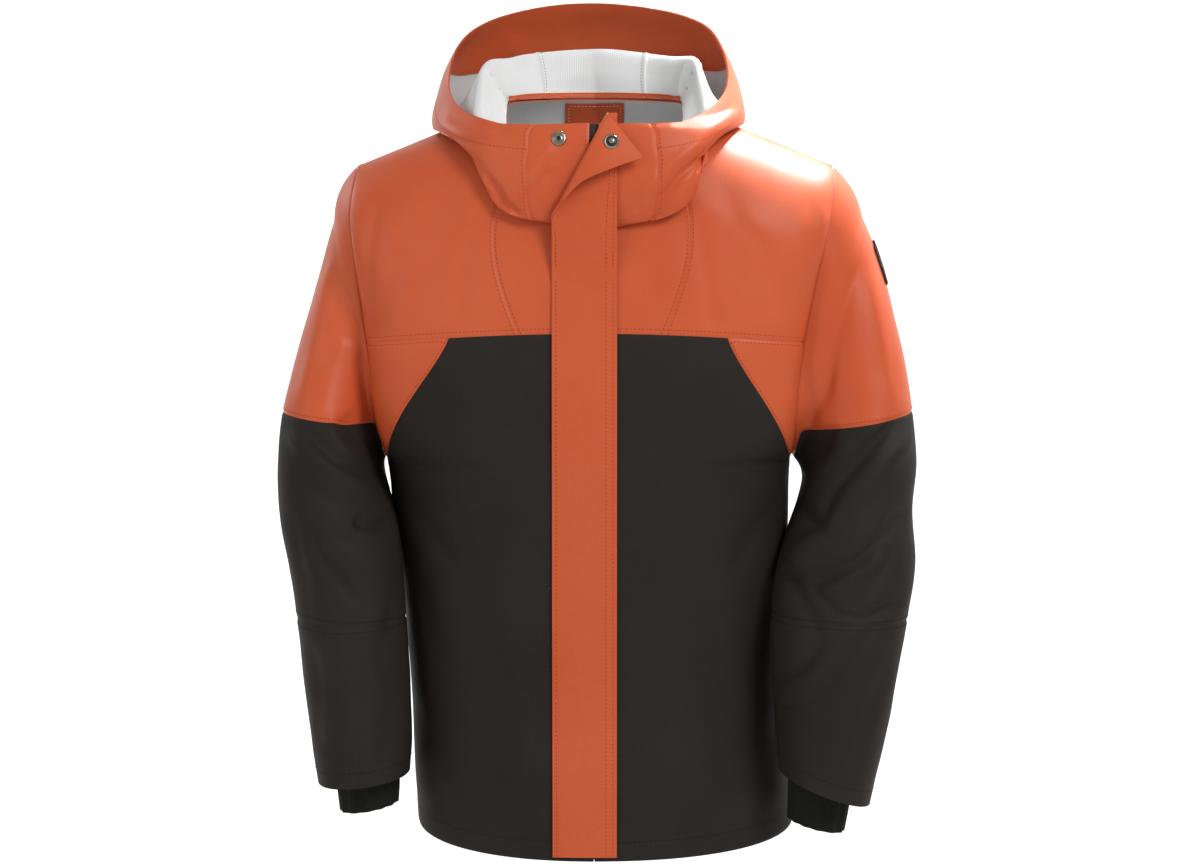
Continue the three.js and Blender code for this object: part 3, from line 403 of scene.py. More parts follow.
def flap_flat(a, b):
    i = np.clip(np.floor(b).astype(int), 0, len(FLAP_ROWS) - 2)
    row = mix(FLAP_ROWS[i].T, FLAP_ROWS[i + 1].T, b - i)
    return mix(FLAP["left"], row[1], a), mix(row[0], row[2], a)


# ---------------------------------------------------------------- folds of the cloth
# Each fold is a curved line seen from the front: the side it is on (-1 front, 1 back), its half
# width, its depth (a trough above 0, a ridge below 0) and its points from one end to the other.
FOLDS = {
    "sleeve_r": [
        (-1, 9, -6.5, (-301, -305), (-275, -326), (-241, -348), (-201, -361)),
        (-1, 7, -4, (-266, -286), (-264, -302), (-250, -319), (-221, -339)),
        (-1, 9, 5.5, (-250, -284), (-240, -306), (-212, -326)),
        (-1, 6, 4, (-288, -298), (-262, -322), (-236, -339), (-210, -351)),
        (-1, 12, 6.5, (-292, -344), (-270, -359), (-236, -376), (-203, -387)),
        (-1, 8, 9, (-236, -386), (-216, -391), (-198, -388)),
        (-1, 8, 5, (-285, -394), (-273, -422), (-256, -446), (-233, -469)),
        (-1, 10, -4.5, (-272, -403), (-241, -422), (-196, -434)),
        (-1, 10, 5.5, (-194, -448), (-206, -473), (-208, -499)),
        (-1, 14, -3.5, (-263, -500), (-257, -545), (-251, -590)),
        (-1, 12, 3.5, (-217, -516), (-206, -568), (-216, -625)),
        (-1, 10, 2.5, (-305, -387), (-297, -439), (-292, -487)),
        (-1, 9, 2.5, (-289, -520), (-281, -560), (-284, -610)),
        (-1, 7, 2.6, (-275, -224), (-263, -201), (-245, -203), (-230, -219)),
        (-1, 6, 2.2, (-271, -185), (-256, -160), (-247, -178), (-233, -201)),
        (-1, 11, -2.4, (-277, -140), (-289, -221), (-298, -262)),
        (-1, 8, 3, (-245, -74), (-240, -123), (-233, -169), (-229, -224)),
        (1, 14, 6, (-302, -350), (-262, -384), (-218, -404)), (1, 12, -4, (-306, -320), (-266, -352), (-222, -376)),
        (1, 12, 5, (-304, -440), (-258, -462), (-206, -468)), (1, 13, 4, (-296, -530), (-262, -548), (-214, -544)),
        (1, 12, 3, (-270, -120), (-262, -190), (-250, -250)), (1, 11, 3, (-286, -250), (-252, -292), (-226, -318)),
    ],
    "sleeve_l": [
        (-1, 8, 6.5, (301, -289), (268, -321), (242, -356), (229, -389)),
        (-1, 8, -5, (253, -311), (231, -339), (206, -364)),
        (-1, 8, 6, (238, -300), (223, -328), (209, -351)),
        (-1, 14, -7, (314, -309), (278, -340), (244, -377), (200, -426)),
        (-1, 8, 7, (200, -369), (219, -388), (205, -403), (189, -410)),
        (-1, 9, 7, (304, -386), (265, -420), (234, -437), (189, -446)),
        (-1, 8, -5, (280, -424), (247, -444), (225, -457)),
        (-1, 8, 4.5, (307, -401), (285, -437), (261, -468)),
        (-1, 6, 5.5, (221, -454), (239, -472), (265, -480), (297, -470)),
        (-1, 8, 4.5, (195, -444), (217, -478), (223, -504), (209, -527), (187, -546)),
        (-1, 9, 5, (274, -493), (248, -534), (226, -563), (189, -573)),
        (-1, 9, -4.5, (244, -502), (220, -534), (189, -549)),
        (-1, 11, 3, (290, -540), (270, -585), (262, -630)),
        (-1, 9, -2.8, (243, -118), (225, -172), (219, -228), (227, -272)),
        (-1, 7, 3, (231, -113), (213, -159), (205, -209), (204, -265)),
        (-1, 8, 3, (262, -145), (242, -209), (236, -259)),
        (-1, 11, -2.4, (282, -150), (291, -215), (300, -262)),
        (1, 14, 6, (302, -350), (262, -384), (218, -404)), (1, 12, -4, (308, -318), (266, -350), (222, -374)),
        (1, 12, 5, (306, -430), (258, -456), (200, -464)), (1, 13, 4, (296, -520), (258, -542), (200, -540)),
        (1, 12, 3, (268, -124), (262, -190), (248, -250)), (1, 11, 3, (288, -248), (252, -290), (222, -320)),
    ],
    "body": [
        (-1, 14, 3.5, (-208, -352), (-186, -380), (-150, -424)), (-1, 14, 2.5, (-202, -410), (-184, -462), (-160, -530)),
        (-1, 14, 3.5, (198, -352), (176, -384), (145, -432)), (-1, 14, 2.5, (198, -412), (180, -470), (160, -545)),
        (-1, 24, 2.2, (-126, -440), (-112, -560), (-100, -700)), (-1, 26, 2.2, (112, -430), (126, -560), (128, -700)),
        (-1, 16, 2, (-190, -590), (-172, -640), (-150, -705)), (-1, 18, 2, (188, -600), (176, -650), (160, -708)),
        (-1, 20, -1.8, (-76, -330), (-84, -470), (-74, -640)), (-1, 20, -1.8, (66, -330), (76, -470), (74, -650)),
        (1, 26, 5, (-104, -322), (-140, -400), (-182, -488)), (1, 26, 5, (112, -324), (150, -400), (182, -490)),
        (1, 24, 3, (-60, -420), (-84, -550), (-96, -700)), (1, 26, 3, (40, -380), (56, -520), (70, -700)),
        (1, 20, 2, (0, -470), (-8, -590), (-12, -706)), (1, 14, 3, (-150, -250), (-170, -284), (-200, -330)),
        (1, 14, 3, (150, -250), (172, -290), (194, -330)),
    ],
    "yoke": [
        (-1, 16, 2.4, (-150, -60), (-186, -110), (-226, -190)), (-1, 16, 2.4, (128, -58), (166, -110), (206, -186)),
        (-1, 10, 1.6, (-116, -76), (-132, -120), (-138, -186)), (-1, 10, 2.6, (-222, -74), (-232, -130), (-228, -205)),
        (-1, 10, 2.6, (218, -74), (222, -120), (206, -195)), (-1, 12, 1.6, (94, -86), (108, -130), (116, -182)),
        (-1, 16, -1.8, (-172, -80), (-196, -140), (-200, -190)), (-1, 16, -1.8, (150, -78), (180, -138), (180, -186)),
        (1, 18, 3, (-150, -60), (-186, -110), (-215, -180)), (1, 18, 3, (140, -60), (176, -116), (206, -180)),
        (1, 14, -2, (-80, -60), (-92, -120), (-84, -188)), (1, 14, -2, (88, -64), (92, -124), (104, -188)),
    ],
    "hood": [
        (-1, 6, 5, (-108, -40), (-96, -60), (-80, -76)), (-1, 9, -3.5, (-84, -60), (-63, -31), (-48, -13)),
        (-1, 6, 5.5, (122, -8), (104, -22), (84, -38), (67, -60), (60, -84)),
        (-1, 7, 2.8, (-82, -76), (-63, -54), (-46, -36)), (-1, 9, -3, (138, 22), (107, -3), (80, -23), (50, -52)),
        (-1, 8, 2.5, (82, 16), (116, 21), (146, 34)), (-1, 8, 2.4, (-92, 6), (-118, 10), (-148, 22)),
        (1, 22, 3, (-90, -40), (-70, 20), (-80, 90)), (1, 22, 3, (84, -36), (74, 24), (88, 92)),
        (1, 20, -2.5, (-20, -50), (-10, 30), (-16, 110)), (1, 16, 2.5, (-120, 0), (-112, 50), (-96, 100)),
        (1, 16, 2.5, (116, 2), (116, 48), (100, 96)),
    ],
}


def line_offset(points, x, z):
    """How far each place lies beside a curved line of points, and how far along it, from 0 to 1."""
    points = np.array(points, float)
    steps = np.linalg.norm(np.diff(points, axis=0), axis=1)
    starts = np.concatenate([[0], np.cumsum(steps)])
    best, along = np.full(x.shape, 1e9), np.zeros(x.shape)
    for i, length in enumerate(steps):
        dx, dz = (points[i + 1] - points[i]) / length
        t = (x - points[i, 0]) * dx + (z - points[i, 1]) * dz
        low = -60.0 if i == 0 else 0.0
        high = length + 60.0 if i == len(steps) - 1 else length
        t = np.clip(t, low, high)
        off = np.hypot(x - points[i, 0] - dx * t, z - points[i, 1] - dz * t)
        nearer = off < best
        best = np.where(nearer, off, best)
        along = np.where(nearer, (starts[i] + t) / starts[-1], along)
    return best, along


def pressed(folds, p, n, seed):
    """How far each point moves inwards for the folds and the cloth's slight unevenness."""
    push = np.zeros(len(p))
    for side, half, depth, *points in folds:
        facing = smooth(side * n[:, 1] * 1.8)
        off, along = line_offset(points, p[:, 0], p[:, 2])
        ends = smooth(along * 4 + 0.8) * smooth((1 - along) * 4 + 0.8)
        swell = 0.82 + 0.18 * np.sin(along * 7.0 + points[0][0])
        push += depth * facing * ends * swell * np.exp(-(off / (half * swell)) ** 2)
    uneven = np.array([noise.noise(Vector(q) * 0.012 + Vector((seed, 0, 0)))
                       + 0.4 * noise.noise(Vector(q) * 0.03 + Vector((0, seed, 0))) for q in p])
    return push + 1.3 * uneven


# ---------------------------------------------------------------- surfaces
def normals_of(point, a, b, step_a=2e-3, step_b=2e-3, limits=None):
    (a_low, a_high), (b_low, b_high) = limits or ((-9e9, 9e9), (-9e9, 9e9))
    a0, a1 = np.maximum(a - step_a, a_low), np.minimum(a + step_a, a_high)
    b0, b1 = np.maximum(b - step_b, b_low), np.minimum(b + step_b, b_high)
    n = np.cross(point(a1, b) - point(a0, b), point(a, b1) - point(a, b0))
    return n / np.maximum(np.linalg.norm(n, axis=-1, keepdims=True), 1e-9)


def dip(base, a, b, limits, seams, deep, half=1.8):
    """How deep a seam's groove is at each point: it follows the true distance from the edges."""
    step = 2e-3
    (a_low, a_high), (b_low, b_high) = limits
    a0, a1 = np.maximum(a - step, a_low), np.minimum(a + step, a_high)
    b0, b1 = np.maximum(b - step, b_low), np.minimum(b + step, b_high)
    wide = np.linalg.norm(base(a1, b) - base(a0, b), axis=-1) / (a1 - a0)
    long = np.linalg.norm(base(a, b1) - base(a, b0), axis=-1) / (b1 - b0)
    off = np.full(a.shape, 1e3)
    for key, way in (("l", a * wide), ("r", (1 - a) * wide), ("b", b * long), ("t", (1 - b) * long)):
        if key in seams:
            off = np.minimum(off, way)
    return deep * np.exp(-(off / half) ** 2)


def folded(base, folds, seed, limits=((0, 1), (0, 1)), hold=0.07, seams="lrbt", groove=0.9, still=None):
    """The surface base(a, b) with its folds pressed in, its edges held, and a dip along its seams."""
    def point(a, b):
        p = base(a, b)
        n = normals_of(base, a, b, limits=limits)
        push = pressed(folds, p, n, seed)
        if hold:
            push = push * smooth(np.minimum(a, 1 - a) / hold) * smooth(np.minimum(b, 1 - b) / hold)
        if still is not None:
            push = push * still(a, b)
        return p - n * (push + dip(base, a, b, limits, seams, groove))[:, None]
    return point


def panel_front(sign, base):
    """A front panel runs from left to right as seen, so the wearer's right one runs backwards."""
    return (lambda a, b: base(1 - a, b)) if sign < 0 else base


def front_surfaces(sign):
    def lower(a, b):
        share = np.maximum(mix(0.001, ZIP_EDGE, smooth(b * 30)), a)
        return body(-1, share * sign, mix(hem_z(-1, share), gusset_z(share), b))

    def gusset(a, b):
        share = mix(GUSSET_START + 0.0004, 1, a)
        return body(-1, share * sign, mix(gusset_z(share), chest_z(share), b))

    def yoke(a, b):
        share = mix(insert_seam(b), 1, a)
        low = chest_z(mix(INSERT_SEAM, 1, a))
        # The rows are level lines that bend to the neckline and shoulder only near the top.
        level = mix(float(neckline_z(-1, INSERT_TOP)), float(shoulder_z(1.0)), a)
        top = yoke_top(-1, mix(INSERT_TOP, 1, a))
        return body(-1, share * sign, mix(low, level, b) + (top - level) * b ** 4)

    def insert(a, b):
        share = np.maximum(ZIP_EDGE, insert_seam(b) * a)
        low = chest_z(INSERT_SEAM * a)
        return body(-1, share * sign, mix(low, neckline_z(-1, INSERT_TOP * a), b))

    return {"front_body": lower, "gusset": gusset, "yoke": yoke, "insert": insert}


def back_lower(a, b):
    share = 1 - 2 * a
    return body(1, share, mix(hem_z(1, share), chest_z(share), b))


def back_yoke(a, b):
    share = 1 - 2 * a
    return body(1, share, mix(chest_z(share), yoke_top(1, share), b))


# ---------------------------------------------------------------- materials
def linear(code):
    """An sRGB hex colour as linear RGBA."""
    parts = [int(code[i:i + 2], 16) / 255 for i in (1, 3, 5)]
    return tuple(c / 12.92 if c <= 0.04045 else ((c + 0.055) / 1.055) ** 2.4 for c in parts) + (1.0,)


def node(tree, kind, settings=None, links=None):
    """Adds a node, sets its properties and input values, and links its inputs."""
    made = tree.nodes.new("ShaderNode" + kind)
    for key, value in (settings or {}).items():
        if isinstance(key, str) and hasattr(made, key):
            setattr(made, key, value)
        else:
            made.inputs[key].default_value = value
    for key, source in (links or {}).items():
        tree.links.new(source, made.inputs[key])
    return made


def start_material(name, settings):
    made = bpy.data.materials.new(name)
    made.use_nodes = True
    tree = made.node_tree
    shader = next(n for n in tree.nodes if n.type == "BSDF_PRINCIPLED")
    for key, value in settings.items():
        shader.inputs[key].default_value = value
    place = node(tree, "TexCoord").outputs["Object"]
    return made, tree, shader, place


def coated_cloth(name, dark, light, rough, grain, gloss):
    """Polyurethane-coated knit: a rubbery satin skin with a fine leathery grain over the knit."""
    made, tree, shader, place = start_material(name, {"IOR": 1.5, "Specular IOR Level": gloss})
    cloudy = node(tree, "TexNoise", {"Scale": 7.0, "Detail": 3.0}, {"Vector": place})
    shade = node(tree, "ValToRGB", {}, {"Fac": cloudy.outputs["Fac"]})
    shade.color_ramp.elements[0].position, shade.color_ramp.elements[1].position = 0.3, 0.7
    shade.color_ramp.elements[0].color, shade.color_ramp.elements[1].color = linear(dark), linear(light)
    tree.links.new(shade.outputs["Color"], shader.inputs["Base Color"])
    # The rubbed skin is a little shinier in some places: 60 mm patches.
    patches = node(tree, "TexNoise", {"Scale": 16.0, "Detail": 2.0}, {"Vector": place})
    sheen = node(tree, "MapRange", {"To Min": rough - 0.05, "To Max": rough + 0.06}, {"Value": patches.outputs["Fac"]})
    tree.links.new(sheen.outputs["Result"], shader.inputs["Roughness"])
    # The real grain is about 0.4 mm, drawn at 1.3 mm so that it shows.
    pebbles = node(tree, "TexVoronoi", {"Scale": 760.0}, {"Vector": place})
    knit = node(tree, "TexNoise", {"Scale": 240.0, "Detail": 4.0}, {"Vector": place})
    both = node(tree, "Mix", {"data_type": "FLOAT", 0: 0.6}, {2: pebbles.outputs["Distance"], 3: knit.outputs["Fac"]})
    bump = node(tree, "Bump", {"Strength": grain, "Distance": 0.0004}, {"Height": both.outputs[0]})
    tree.links.new(bump.outputs["Normal"], shader.inputs["Normal"])
    return made


def knit_lining():
    """The knitted inside of the cloth: pale grey, matt, with fine ribs 1.2 mm apart."""
    made, tree, shader, place = start_material("knitted_backing", {"IOR": 1.5, "Sheen Weight": 0.25,
                                                                   "Sheen Roughness": 0.5, "Roughness": 0.85})
    cloudy = node(tree, "TexNoise", {"Scale": 9.0, "Detail": 3.0}, {"Vector": place})
    shade = node(tree, "ValToRGB", {}, {"Fac": cloudy.outputs["Fac"]})
    shade.color_ramp.elements[0].color, shade.color_ramp.elements[1].color = linear("#CFD1D0"), linear("#DCDDDC")
    tree.links.new(shade.outputs["Color"], shader.inputs["Base Color"])
    ribs = node(tree, "TexWave", {"Scale": 130.0, "Distortion": 1.5, "Detail": 2.0}, {"Vector": place})
    bump = node(tree, "Bump", {"Strength": 0.3, "Distance": 0.0003}, {"Height": ribs.outputs["Fac"]})
    tree.links.new(bump.outputs["Normal"], shader.inputs["Normal"])
    return made


def stretch_knit():
    """The inner cuffs' black stretch cloth: matt, with ribs 2 mm apart running down the arm."""
    made, tree, shader, place = start_material("black_stretch_knit", {"IOR": 1.5, "Roughness": 0.9,
                                                                      "Specular IOR Level": 0.12})
    fibre = node(tree, "TexNoise", {"Scale": 900.0, "Detail": 2.0}, {"Vector": place})
    shade = node(tree, "ValToRGB", {}, {"Fac": fibre.outputs["Fac"]})
    shade.color_ramp.elements[0].color, shade.color_ramp.elements[1].color = linear("#131412"), linear("#222320")
    tree.links.new(shade.outputs["Color"], shader.inputs["Base Color"])
    ribs = node(tree, "TexWave", {"Scale": 80.0, "Distortion": 0.4}, {"Vector": place})
    bump = node(tree, "Bump", {"Strength": 0.5, "Distance": 0.0006}, {"Height": ribs.outputs["Fac"]})
    tree.links.new(bump.outputs["Normal"], shader.inputs["Normal"])
    return made


def woven_tape():
    """The zip's woven polyester tape: matt black, its yarns 0.8 mm apart."""
    made, tree, shader, place = start_material("woven_polyester_tape", {"IOR": 1.5, "Roughness": 0.75,
                                                                        "Base Color": linear("#1B1B1D")})
    yarns = node(tree, "TexWave", {"Scale": 200.0, "Distortion": 0.8}, {"Vector": place})
    bump = node(tree, "Bump", {"Strength": 0.4, "Distance": 0.0003}, {"Height": yarns.outputs["Fac"]})
    tree.links.new(bump.outputs["Normal"], shader.inputs["Normal"])
    return made


def acetal_and_painted_snap_shade():
    """The zip's teeth: moulded acetal, smooth and slightly glossy black. The snaps also use it as painted shade in the
    socket's hole and round the stud's post.
    """
    made, tree, shader, place = start_material("acetal_and_painted_snap_shade", {"IOR": 1.48, "Base Color": linear("#17171A")})
    wear = node(tree, "TexNoise", {"Scale": 300.0}, {"Vector": place})
    gloss = node(tree, "MapRange", {"To Min": 0.28, "To Max": 0.42}, {"Value": wear.outputs["Fac"]})
    tree.links.new(gloss.outputs["Result"], shader.inputs["Roughness"])
    return made


def nickel_plate():
    """Nickel-plated brass of the snaps and slider: bright, with fine handling marks."""
    made, tree, shader, place = start_material("nickel_plate", {"Metallic": 1.0, "Base Color": linear("#9C968A")})
    marks = node(tree, "TexNoise", {"Scale": 700.0, "Detail": 3.0}, {"Vector": place})
    gloss = node(tree, "MapRange", {"To Min": 0.16, "To Max": 0.34}, {"Value": marks.outputs["Fac"]})
    tree.links.new(gloss.outputs["Result"], shader.inputs["Roughness"])
    bump = node(tree, "Bump", {"Strength": 0.1, "Distance": 0.0001}, {"Height": marks.outputs["Fac"]})
    tree.links.new(bump.outputs["Normal"], shader.inputs["Normal"])
    return made


def sewing_thread(name, code):
    """Spun polyester thread: matt, lightly fibrous."""
    made, tree, shader, place = start_material(name, {"IOR": 1.5, "Roughness": 0.85, "Specular IOR Level": 0.1})
    twist = node(tree, "TexNoise", {"Scale": 1500.0}, {"Vector": place})
    shade = node(tree, "Mix", {"data_type": "RGBA", 0: 0.3, 6: linear(code)}, {7: twist.outputs["Color"]})
    shade.blend_type = "SOFT_LIGHT"
    tree.links.new(shade.outputs[2], shader.inputs["Base Color"])
    return made


ORANGE = coated_cloth("orange_coated_knit", "#C2522C", "#C95C36", 0.44, 0.35, 0.24)
DARK = coated_cloth("ebony_coated_knit", "#282421", "#2D2926", 0.6, 0.35, 0.07)
LINING = knit_lining()
STRETCH = stretch_knit()
TAPE = woven_tape()
TEETH_AND_SNAP_SHADE = acetal_and_painted_snap_shade()
METAL = nickel_plate()
# This thread is darker than the cloth. Part of that is the thread's own colour, and part is painted shade of the small
# groove that the stitches pull into the cloth.
ORANGE_THREAD_AND_GROOVE_SHADE = sewing_thread("orange_thread_and_groove_shade", "#A33F1E")
DARK_THREAD = sewing_thread("ebony_thread", "#14110F")
GREY_THREAD = sewing_thread("grey_thread", "#6E716F")
PALE_THREAD = sewing_thread("pale_thread", "#EBC3AE")


# ---------------------------------------------------------------- making pieces
def finish_piece(obj, name, slot_name, replaced=()):
    obj.name = name
    obj.data.name = name
    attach(obj, "root")
    if replaced:
        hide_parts(*replaced)
    return obj


def spread(count, size, extra=()):
    """Places from 0 to 1 for a grid's lines: even, with more of them beside both seams."""
    near = np.array([0, 0.9, 1.9, 3.2]) / size
    even = np.linspace(5.5 / size, 1 - 5.5 / size, count)
    return np.unique(np.concatenate([near, even, 1 - near, np.array(extra, float)]))


def shaped_grid(point, columns, rows):
    """A flat grid, its lines at the given places, whose points are carried to point(a, b)."""
    bpy.ops.object.select_all(action="DESELECT")
    bpy.ops.mesh.primitive_grid_add(x_subdivisions=len(columns) - 1, y_subdivisions=len(rows) - 1, size=2)
    obj = bpy.context.object
    flat = np.empty(len(obj.data.vertices) * 3)
    obj.data.vertices.foreach_get("co", flat)
    flat = flat.reshape(-1, 3)
    a = np.interp((flat[:, 0] + 1) / 2, np.linspace(0, 1, len(columns)), columns)
    b = np.interp((flat[:, 1] + 1) / 2, np.linspace(0, 1, len(rows)), rows)
    obj.data.vertices.foreach_set("co", (point(a, b) * MM).ravel())
    obj.data.update()
    return obj


def apply(obj, kind, **settings):
    bpy.context.view_layer.objects.active = obj
    modifier = obj.modifiers.new(kind.lower(), kind)
    for key, value in settings.items():
        setattr(modifier, key, value)
    bpy.ops.object.modifier_apply(modifier=modifier.name)


def surface_area(obj):
    return sum(face.area for face in obj.data.polygons)


def grid_sizes(obj, columns, rows):
    """The longest way across and the longest way along a shaped grid, in metres."""
    at = np.empty(len(obj.data.vertices) * 3)
    obj.data.vertices.foreach_get("co", at)
    at = at.reshape(rows, columns, 3)
    return [float(np.linalg.norm(np.diff(at, axis=k), axis=2).sum(axis=k).max()) for k in (1, 0)]


def cloth(name, replaced, point, columns, rows, outside, inside, slot_name, thick=CLOTH, tube=False,
          lined_rim=False):
    """A piece of cloth on a surface, with its thickness and lining."""
    obj = shaped_grid(point, columns, rows)
    width, length = grid_sizes(obj, len(columns), len(rows))
    if tube:
        apply(obj, "WELD", merge_threshold=0.00005)
    obj.data.materials.append(outside)
    obj.data.materials.append(inside)
    area = surface_area(obj)
    apply(obj, "SOLIDIFY", thickness=thick * MM, offset=-1.0, material_offset=1, material_offset_rim=int(lined_rim))
    if lined_rim:
        # The side edges show the lining, the brim and the neck edge the coated face.
        ends = np.concatenate([point(np.linspace(0, 1, 300), np.full(300, b)) for b in (0.0, 1.0)]) * MM
        at = np.array([v.co[:] for v in obj.data.vertices])
        close = np.array([np.min(np.sum((ends - p) ** 2, axis=1)) < 0.0016 ** 2 for p in at])
        for face in obj.data.polygons:
            if face.material_index == 1 and all(close[i] for i in face.vertices):
                face.material_index = 0
    bpy.ops.object.shade_smooth_by_angle(angle=math.radians(50))
    finish_piece(obj, name, slot_name, replaced)
    # A narrow tape's length is raised to at least 10 mm, and a tapering piece's width is kept so that the area is at
    # least 0.3 of the rectangle, so these aren't its measured sizes; nothing reads them afterwards. A declared side
    # is at least 10 mm and the area at least 0.3 of the rectangle, so a narrow tape's length and a tapering piece's
    # width are fitted to that and aren't its measured ones.
    length = max(length, 0.0101)
    width = min(max(width, area / length), area / length / 0.32)
    return obj


STITCH_LENGTH = 2.9
STITCH_STEP = 4.1


def beside(surface, edge, inset, start=0.0, end=1.0):
    """The line on a surface that runs inset millimetres from one of its edges (a0, a1, b0 or b1)."""
    t = np.linspace(0, 1, 21)
    s = np.linspace(0, 1, 61) ** 2
    if edge[1] == "1":
        s = 1 - s
    at = []
    for value in t:
        fixed = np.full(len(s), value)
        p = surface(s, fixed) if edge[0] == "a" else surface(fixed, s)
        way = np.concatenate([[0], np.cumsum(np.linalg.norm(np.diff(p, axis=0), axis=1))])
        at.append(np.interp(inset, way, s))
    at = np.array(at)

    def line(q):
        along = mix(start, end, q)
        off = np.interp(along, t, at)
        return (off, along) if edge[0] == "a" else (along, off)
    return line


def sewn(name, surface, line, thread, slot_name, flip=1.0, lift=0.12, slant=0.0):
    """A row of stitches along a line on a surface: one stitch modelled, copied by an array."""
    q = np.linspace(0, 1, 600)
    track = surface(*line(q))
    way = np.concatenate([[0], np.cumsum(np.linalg.norm(np.diff(track, axis=0), axis=1))])
    count = max(2, int(way[-1] / STITCH_STEP))
    middle = np.interp((np.arange(count) + 0.5) * way[-1] / count, way, q)
    a, b = line(middle)
    at = surface(a, b)
    ahead = surface(*line(np.minimum(middle + 1e-3, 1))) - surface(*line(np.maximum(middle - 1e-3, 0)))
    ahead /= np.linalg.norm(ahead, axis=1, keepdims=True)
    up = normals_of(surface, a, b, limits=((0, 1), (0, 1))) * flip
    side = np.cross(up, ahead)
    side /= np.linalg.norm(side, axis=1, keepdims=True)
    bpy.ops.object.select_all(action="DESELECT")
    bpy.ops.mesh.primitive_uv_sphere_add(segments=6, ring_count=4, radius=1.0)
    obj = bpy.context.object
    apply(obj, "ARRAY", count=count, use_merge_vertices=False)
    each = len(obj.data.vertices) // count
    shape = np.empty(len(obj.data.vertices) * 3)
    obj.data.vertices.foreach_get("co", shape)
    one = shape.reshape(count, each, 3)[0]
    # The thread is drawn into the cloth at both ends.
    long, wide, high = one[:, 2] * STITCH_LENGTH / 2, one[:, 0] * 0.36, one[:, 1] * 0.3 + lift - 0.3 * one[:, 2] ** 2
    lean = slant * long
    put = (at[:, None] + ahead[:, None] * long[None, :, None] + side[:, None] * (wide + lean)[None, :, None]
           + up[:, None] * high[None, :, None])
    obj.data.vertices.foreach_set("co", (put * MM).ravel())
    obj.data.update()
    obj.data.materials.append(thread)
    bpy.ops.object.shade_smooth()
    return finish_piece(obj, name, slot_name)


PIECES = {}
SURFACES = {}
CORNER = [GUSSET_START + q for q in (-0.02, -0.006, 0, 0.002, 0.006, 0.014, 0.03)]
NECK_SIDE = [0.018, 0.021, 0.024, 0.027, 0.0295, 0.0315, 0.0328, 0.0336, 0.034, 0.037]
NECK_BACK = [0.5 + way * (NECK_SHARE / 2 - q) for way in (-1, 1) for q in (-0.004, 0, 0.0003, 0.001, 0.002, 0.004, 0.007)]

for sign, tag in ((-1, "r"), (1, "l")):
    surfaces = front_surfaces(sign)
    plan = {
        "front_body": (surfaces["front_body"], "body", (300, 480), 60, 84, DARK, "dark_shell", ["yoke_%s_cloth"]),
        "gusset": (surfaces["gusset"], "body", (170, 130), 30, 24, ORANGE, "shell", ["yoke_%s_cloth"]),
        "yoke": (surfaces["yoke"], "yoke", (210, 170), 60, 56, ORANGE, "shell", ["back_yoke_cloth"]),
        "insert": (surfaces["insert"], "yoke", (100, 110), 26, 44, ORANGE, "shell", ["yoke_%s_cloth"]),
    }
    for kind, (base, folds, size, columns, rows, outside, slot_name, rests) in plan.items():
        base = panel_front(sign, base)
        surface = folded(base, FOLDS[folds], sign * 3.7)
        SURFACES[f"{kind}_{tag}"] = surface
        places = spread(columns, size[0], {"front_body": CORNER, "yoke": NECK_SIDE}.get(kind, ()))
        PIECES[f"{kind}_{tag}"] = (surface, 1 - places[::-1] if sign < 0 else places, spread(rows, size[1]), outside,
                                   slot_name, [r % tag if "%" in r else r for r in rests])

SURFACES["back_body"] = folded(back_lower, FOLDS["body"], 1.3)
SURFACES["back_yoke"] = folded(back_yoke, FOLDS["yoke"], 2.1)
PIECES["back_body"] = (SURFACES["back_body"], spread(110, 600), spread(84, 520), DARK, "dark_shell", ["back_yoke_cloth"])
PIECES["back_yoke"] = (SURFACES["back_yoke"], spread(110, 620, NECK_BACK), spread(50, 260), ORANGE, "shell", ["hood_centre_cloth"])

for name, (surface, columns, rows, outside, slot_name, rests) in PIECES.items():
    cloth(f"{name}_cloth", (name,), surface, columns, rows, outside, LINING, slot_name)

for sign, tag in ((-1, "r"), (1, "l")):
    outer, inner = ("a0", "a1") if sign < 0 else ("a1", "a0")
    body_, yoke_, insert_, gusset_ = (SURFACES[f"{kind}_{tag}"] for kind in ("front_body", "yoke", "insert", "gusset"))
    rows = {
        "hem": (body_, beside(body_, "b0", 20), DARK_THREAD, "dark_shell"),
        "chest": (yoke_, beside(yoke_, "b0", 5.5), ORANGE_THREAD_AND_GROOVE_SHADE, "shell"),
        "insert_chest": (insert_, beside(insert_, "b0", 5.5), ORANGE_THREAD_AND_GROOVE_SHADE, "shell"),
        "insert_seam": (yoke_, beside(yoke_, inner, 4), ORANGE_THREAD_AND_GROOVE_SHADE, "shell"),
        "insert_edge": (insert_, beside(insert_, outer, 3), ORANGE_THREAD_AND_GROOVE_SHADE, "shell"),
        "armhole": (yoke_, beside(yoke_, outer, 4), ORANGE_THREAD_AND_GROOVE_SHADE, "shell"),
        "gusset": (gusset_, beside(gusset_, "b0", 4), ORANGE_THREAD_AND_GROOVE_SHADE, "shell"),
        "gusset_top": (gusset_, beside(gusset_, "b1", 3), ORANGE_THREAD_AND_GROOVE_SHADE, "shell"),
    }
    for kind, (surface, line, thread, slot_name) in rows.items():
        sewn(f"{kind}_stitches_{tag}", surface, line, thread, slot_name)
sewn("back_hem_stitches", SURFACES["back_body"], beside(SURFACES["back_body"], "b0", 20), DARK_THREAD, "dark_shell")
sewn("back_chest_stitches", SURFACES["back_yoke"], beside(SURFACES["back_yoke"], "b0", 5.5), ORANGE_THREAD_AND_GROOVE_SHADE, "shell")

